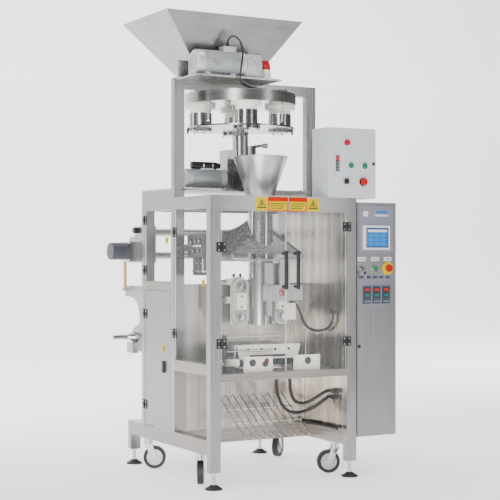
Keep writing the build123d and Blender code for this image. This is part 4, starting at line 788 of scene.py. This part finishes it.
for name, door, centre, wide in (("side_front_sticker", "side_front_door", (78, 1050), 34),
                                 ("side_rear_sticker", "side_rear_door", (505, 1273), 34),
                                 ("steel_door_sticker", "steel_door", (540, 689), 40)):
    signs = Maker(name)
    warning_triangle(signs, centre, wide, "left", 0)
    signs.finish(door, smooth=False)


def no_hands(make, x, y, z, radius):
    """A red ring and bar on a white disc, facing the front."""
    make.turned((x, y, z), (0, -1, 0), [(0, radius), (0.4, radius)], "white", 48)
    make.turned((x, y - 0.4, z), (0, -1, 0),
                [(0, radius), (0.3, radius), (0.3, radius * 0.78), (0, radius * 0.78)],
                "red", 48)
    turn = Matrix.Rotation(math.radians(45), 3, "Y")
    make.box((x - radius * 0.8, x + radius * 0.8), (y - 0.75, y - 0.4),
             (z - radius * 0.1, z + radius * 0.1), "red", turn)
    make.box((x - radius * 0.16, x + radius * 0.16), (y - 0.6, y - 0.4),
             (z - radius * 0.5, z + radius * 0.45),
             "sticker_black")


signs = Maker("hand_signs")
no_hands(signs, 497, 119.9, 996, 22)
no_hands(signs, 365, 59.9, 640, 15)
signs.finish("frame", smooth=False)

# ---- Operator panel details ----------------------------------------------------------------------
screen = Maker("screen_tiles")
screen.box((957, 1081), (-11.75, -11.45), (1318, 1331), "panel_white")
for row in range(3):
    for column_step in range(3):
        x, z = 962 + column_step * 40, 1292 - row * 22
        screen.box((x, x + 32), (-11.75, -11.45), (z, z + 14), "screen_tile")
screen.finish("cabinet_door", smooth=False)
screen = Maker("screen_surround")
for x in ((928, 952), (1086, 1100)):
    screen.box(x, (-10.3, -9.95), (1225, 1350), "panel_white")
for x in ((946, 952), (1086, 1092)):
    screen.box(x, (-10.6, -10.2), (1233, 1341), "controller")
for z in ((1233, 1239), (1335, 1341)):
    screen.box((946, 1092), (-10.6, -10.2), z, "controller")
screen.box((930, 962), (-4.3, -3.95), (1402, 1430), "panel_white")
screen.box((1006, 1096), (-4.3, -3.95), (1404, 1412), "panel_white")
screen.box((1016, 1084), (-4.3, -3.95), (1420, 1434), "screen")
screen.finish("cabinet_door", smooth=False)
control = Maker("controller_faces")
for index in range(3):
    x = 954 + index * 62.5
    control.box((x - 19, x + 19), (-9.4, -8.9), (993, 1017), "sticker_black")
    control.box((x - 15, x + 15), (-9.7, -9.3), (999, 1012), "digits_red")
    control.box((x - 19, x + 19), (-9.4, -8.9), (962, 988), "sticker_black")
    control.box((x - 15, x + 15), (-9.7, -9.3), (968, 982), "digits_green")
    for key_step in range(4):
        kx = x - 16.5 + key_step * 11
        control.box((kx - 3.6, kx + 3.6), (-10.2, -8.9), (938, 946), "panel_grey")
control.finish("cabinet_door", smooth=False)
counter = Maker("counter_face")
counter.box((759, 775), (-4.5, -3.9), (1700, 1724), "digits_red")
for row in range(3):
    counter.box((760, 774), (-4.6, -3.9), (1648 + 17 * row, 1660 + 17 * row), "panel_grey")
counter.finish("control_box_door", smooth=False)
labels = Maker("label_row")
for x in (921, 965, 1009, 1050, 1092):
    labels.box((x - 15, x + 15), (-2.3, -1.95), (1066, 1080), "controller")
for x in (921, 1009, 1092):
    labels.box((x - 19, x + 19), (-1.8, -1.45), (1168, 1174), "panel_grey")
labels.finish("cabinet_door", smooth=False)
keys = Maker("hanging_keys")
keys.turned((921, -36.5, 1113), (1, 0, 0), [(-1.2, 6.0), (-1.2, 7.6), (1.2, 7.6), (1.2, 6.0), (-1.2, 6.0)],
            "polished", 32)
for x, tilt in ((918.5, 10), (923.5, -8)):
    turn = Matrix.Rotation(math.radians(tilt), 3, "Y")
    keys.box((x - 6, x + 6), (-37.4, -35.8), (1090, 1106), "black" if x < 920 else "polished", turn)
    keys.box((x - 2.4 + tilt * -0.25, x + 2.4 + tilt * -0.25), (-37.0, -36.0), (1066, 1091), "polished",
             turn)
keys.finish("key_switch", 0.0004)
rings = Maker("panel_button_rings")
rings.turned((1009, -8, 1121), (0, -1, 0), [(0, 12.6), (0, 16.5), (1.2, 16), (1.2, 12.6), (0, 12.6)],
             "polished", 48)
rings.turned((1092, -8, 1121), (0, -1, 0), [(0, 22), (0, 33), (0.8, 32.5), (0.8, 22), (0, 22)],
             "yellow_ring", 56)
rings.finish("cabinet_door")
lock = Maker("cabinet_lock")
lock.turned((906, -0.2, 700), (0, -1, 0), [(0, 10), (2.5, 10), (3.5, 8), (3.5, 5), (1.5, 4)], "black", 40)
lock.finish("cabinet_door")
lock = Maker("control_box_lock")
lock.turned((1000, -0.2, 1688), (0, -1, 0), [(0, 9), (2.5, 9), (3.5, 7), (3.5, 4), (1.5, 3)], "black", 40)
lock.finish("control_box_door")


# ---- Cords and hoses -----------------------------------------------------------------------------
def cord_curve(name, route, dia, node, material):
    """One open spline along the route, riding on the frame in place of the CAD node, which it hides."""
    data = bpy.data.curves.new(name, "CURVE")
    data.dimensions = "3D"
    data.bevel_depth = dia / 2 * MM
    data.bevel_resolution = 6
    data.resolution_u = 16
    data.use_fill_caps = True
    spline = data.splines.new("NURBS")
    spline.points.add(len(route) - 1)
    for point, spot in zip(spline.points, route):
        point.co = (*at(*spot), 1)
    spline.order_u = 3
    spline.use_endpoint_u = True
    data.materials.append(M[material])
    cord = add_object(name, data)
    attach(cord, "frame")
    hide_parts(node)
    return cord


def strain_relief(name, base, direction, dia):
    """A tapered boot where a cord leaves its housing."""
    boot = Maker(name)
    r = dia / 2
    boot.turned(base, direction,
                [(-2, r + 0.3), (-2, r + 4.5), (3, r + 4.2), (6, r + 3), (9, r + 2.2), (12, r + 1.4),
                                  (14, r + 0.6), (14, r + 0.1)], "black", 32)
    boot.finish("frame")


left_hose = ((504, 200, 563), (504, 200, 500), (518, 209, 440), (548, 220, 385), (592, 232, 348),
             (648, 240, 330),
             (705, 230, 338), (752, 206, 362), (788, 178, 395), (808, 148, 424), (808, 110, 424))
right_hose = ((590, 200, 563), (590, 200, 512), (599, 208, 462), (618, 219, 416), (652, 230, 388),
              (700, 228, 382),
              (742, 206, 402), (780, 180, 434), (806, 150, 458), (806, 110, 458))
belt_line = ((670, 360, 935), (716, 360, 935), (740, 346, 890), (745, 320, 828), (758, 286, 792),
             (779, 246, 776),
             (797, 198, 780), (807, 150, 796), (810, 108, 832), (810, 108, 876))
motor_line = ((215, 216, 2302), (215, 216, 2328), (236, 200, 2356), (264, 180, 2336), (278, 166, 2290),
              (274, 156, 2238), (262, 150, 2188), (254, 148, 2140), (262, 160, 2108), (288, 194, 2103),
              (326, 246, 2106), (372, 304, 2108), (424, 358, 2110), (486, 394, 2112), (552, 403, 2109),
              (624, 402, 2110), (690, 402, 2110))
cord_curve("jaw_hose_left_line", left_hose, 18, "jaw_hose_left", "cord")
cord_curve("jaw_hose_right_line", right_hose, 18, "jaw_hose_right", "cord")
cord_curve("belt_cable_line", belt_line, 16, "belt_cable", "cord")
cord_curve("motor_cable_line", motor_line, 10, "motor_cable", "cord")
strain_relief("jaw_hose_left_boot", (504, 200, 563), (0, 0, -1), 18)
strain_relief("jaw_hose_right_boot", (590, 200, 563), (0, 0, -1), 18)
strain_relief("belt_cable_boot", (670, 360, 935), (1, 0, 0), 16)
strain_relief("motor_cable_boot", (215, 216, 2302), (0, 0, 1), 10)

coil = []
turns, coil_radius, around = 17, 9.0, 14
for step in range(turns * around + 1):
    angle = 2 * math.pi * step / around
    rise = 154 * step / (turns * around)
    coil.append((37 + coil_radius * math.cos(angle), 1140 + coil_radius * math.sin(angle), 1003 + rise))
# The spline runs a little inside its points, so it is about a hundredth shorter than the line through them.
cord_curve("air_hose_coil", coil, 5, "air_hose", "hose_yellow")

# ---- Floor, lights and camera --------------------------------------------------------------------
floor_mesh = bpy.data.meshes.new("studio_floor")
sweep = bmesh.new()
profile = [(-9.0, 0.0)]
for step in range(25):
    angle = math.radians(90 * step / 24)
    profile.append((9.0 + 4.0 * math.sin(angle), 4.0 - 4.0 * math.cos(angle)))
profile.append((13.0, 16.0))
rows = [[sweep.verts.new((x, y, z - 0.0003)) for y, z in profile] for x in (-18.0, 18.0)]
for step in range(len(profile) - 1):
    sweep.faces.new((rows[0][step], rows[1][step], rows[1][step + 1], rows[0][step + 1]))
sweep.to_mesh(floor_mesh)
sweep.free()
floor_mesh.shade_smooth()
paper = surface("studio_paper", (0.95, 0.95, 0.95), 0.8, 0.0, (1.2, 1.2, 1.2), 0.01, 0.06)
paper.node_tree.nodes["Principled BSDF"].inputs["Emission Color"].default_value = (1, 1, 1, 1)
paper.node_tree.nodes["Principled BSDF"].inputs["Emission Strength"].default_value = 0.9
floor_mesh.materials.append(paper)
floor = add_object("studio_floor", floor_mesh)


def softbox(name, place, aim, wide, tall, power, color=(1, 1, 1)):
    """A large area light aimed at a point."""
    data = bpy.data.lights.new(name, "AREA")
    data.shape = "RECTANGLE"
    data.size, data.size_y = wide, tall
    data.energy = power
    data.color = color
    lamp = add_object(name, data)
    lamp.location = place
    lamp.rotation_euler = (Vector(aim) - Vector(place)).to_track_quat("-Z", "Y").to_euler()


softbox("key", (-4.6, -5.2, 3.6), (0, 0, 1.2), 2.0, 3.0, 220)
softbox("front_fill", (3.4, -5.6, 2.0), (0, 0, 1.1), 1.6, 3.6, 90)
softbox("top", (0.4, -0.6, 6.0), (0, 0, 1.0), 4.0, 3.0, 150)
softbox("left_strip", (-5.6, 1.8, 2.4), (0, 0.2, 1.2), 0.9, 4.0, 90)
softbox("low_fill", (-2.2, -3.0, 0.3), (0, 0, 2.0), 1.6, 0.3, 60)
softbox("backdrop_left", (-3.0, 3.5, 5.0), (4.0, 12.0, 1.0), 5.0, 3.0, 900)
softbox("backdrop_right", (7.0, 2.5, 5.0), (9.0, 11.0, 1.0), 5.0, 3.0, 900)

# Dark cards, which the camera itself never sees, give the steel something to mirror.
cards = bpy.data.meshes.new("dark_cards")
card_mesh = bmesh.new()
for x0, y0, x1, y1, top in ((2.6, -4.4, 3.2, -3.6, 3.2), (4.6, -2.6, 5.0, -1.4, 3.2),
                            (-4.8, 2.6, -4.2, 3.4, 3.0),
                            (-4.6, -0.6, -4.5, 0.3, 2.8), (0.9, -5.4, 1.5, -5.2, 3.0)):
    places = ((x0, y0, 0.02), (x1, y1, 0.02), (x1, y1, top), (x0, y0, top))
    corners = [card_mesh.verts.new(place) for place in places]
    card_mesh.faces.new(corners)
card_mesh.to_mesh(cards)
card_mesh.free()
cards.materials.append(surface("card_black", (0.03, 0.03, 0.03), 0.8, 0.0, (3, 3, 3), 0.1, 0.05))
card = add_object("dark_cards", cards)
card.visible_camera = False

world = bpy.data.worlds.new("studio_world")
bpy.context.scene.world = world
world.use_nodes = True
tree = world.node_tree
place = tree.nodes.new("ShaderNodeTexCoord")
split = tree.nodes.new("ShaderNodeSeparateXYZ")
ramp = tree.nodes.new("ShaderNodeValToRGB")
tree.links.new(place.outputs["Generated"], split.inputs["Vector"])
tree.links.new(split.outputs["Z"], ramp.inputs["Fac"])
ramp.color_ramp.elements[0].color = (0.40, 0.40, 0.41, 1)
ramp.color_ramp.elements[1].color = (1, 1, 1, 1)
ramp.color_ramp.elements[1].position = 0.55
tree.links.new(ramp.outputs["Color"], tree.nodes["Background"].inputs["Color"])
tree.nodes["Background"].inputs["Strength"].default_value = 0.32

camera_data = bpy.data.cameras.new("photo_camera")
camera_data.sensor_width = 36.0
camera_data.lens = 94.86
camera_data.shift_y = 0.00956
camera = add_object("photo_camera", camera_data)
camera.location = (-3.60445, -6.4826, 1.1946)
camera.rotation_euler = (math.radians(90), 0, math.radians(-29.38))
bpy.context.scene.camera = camera
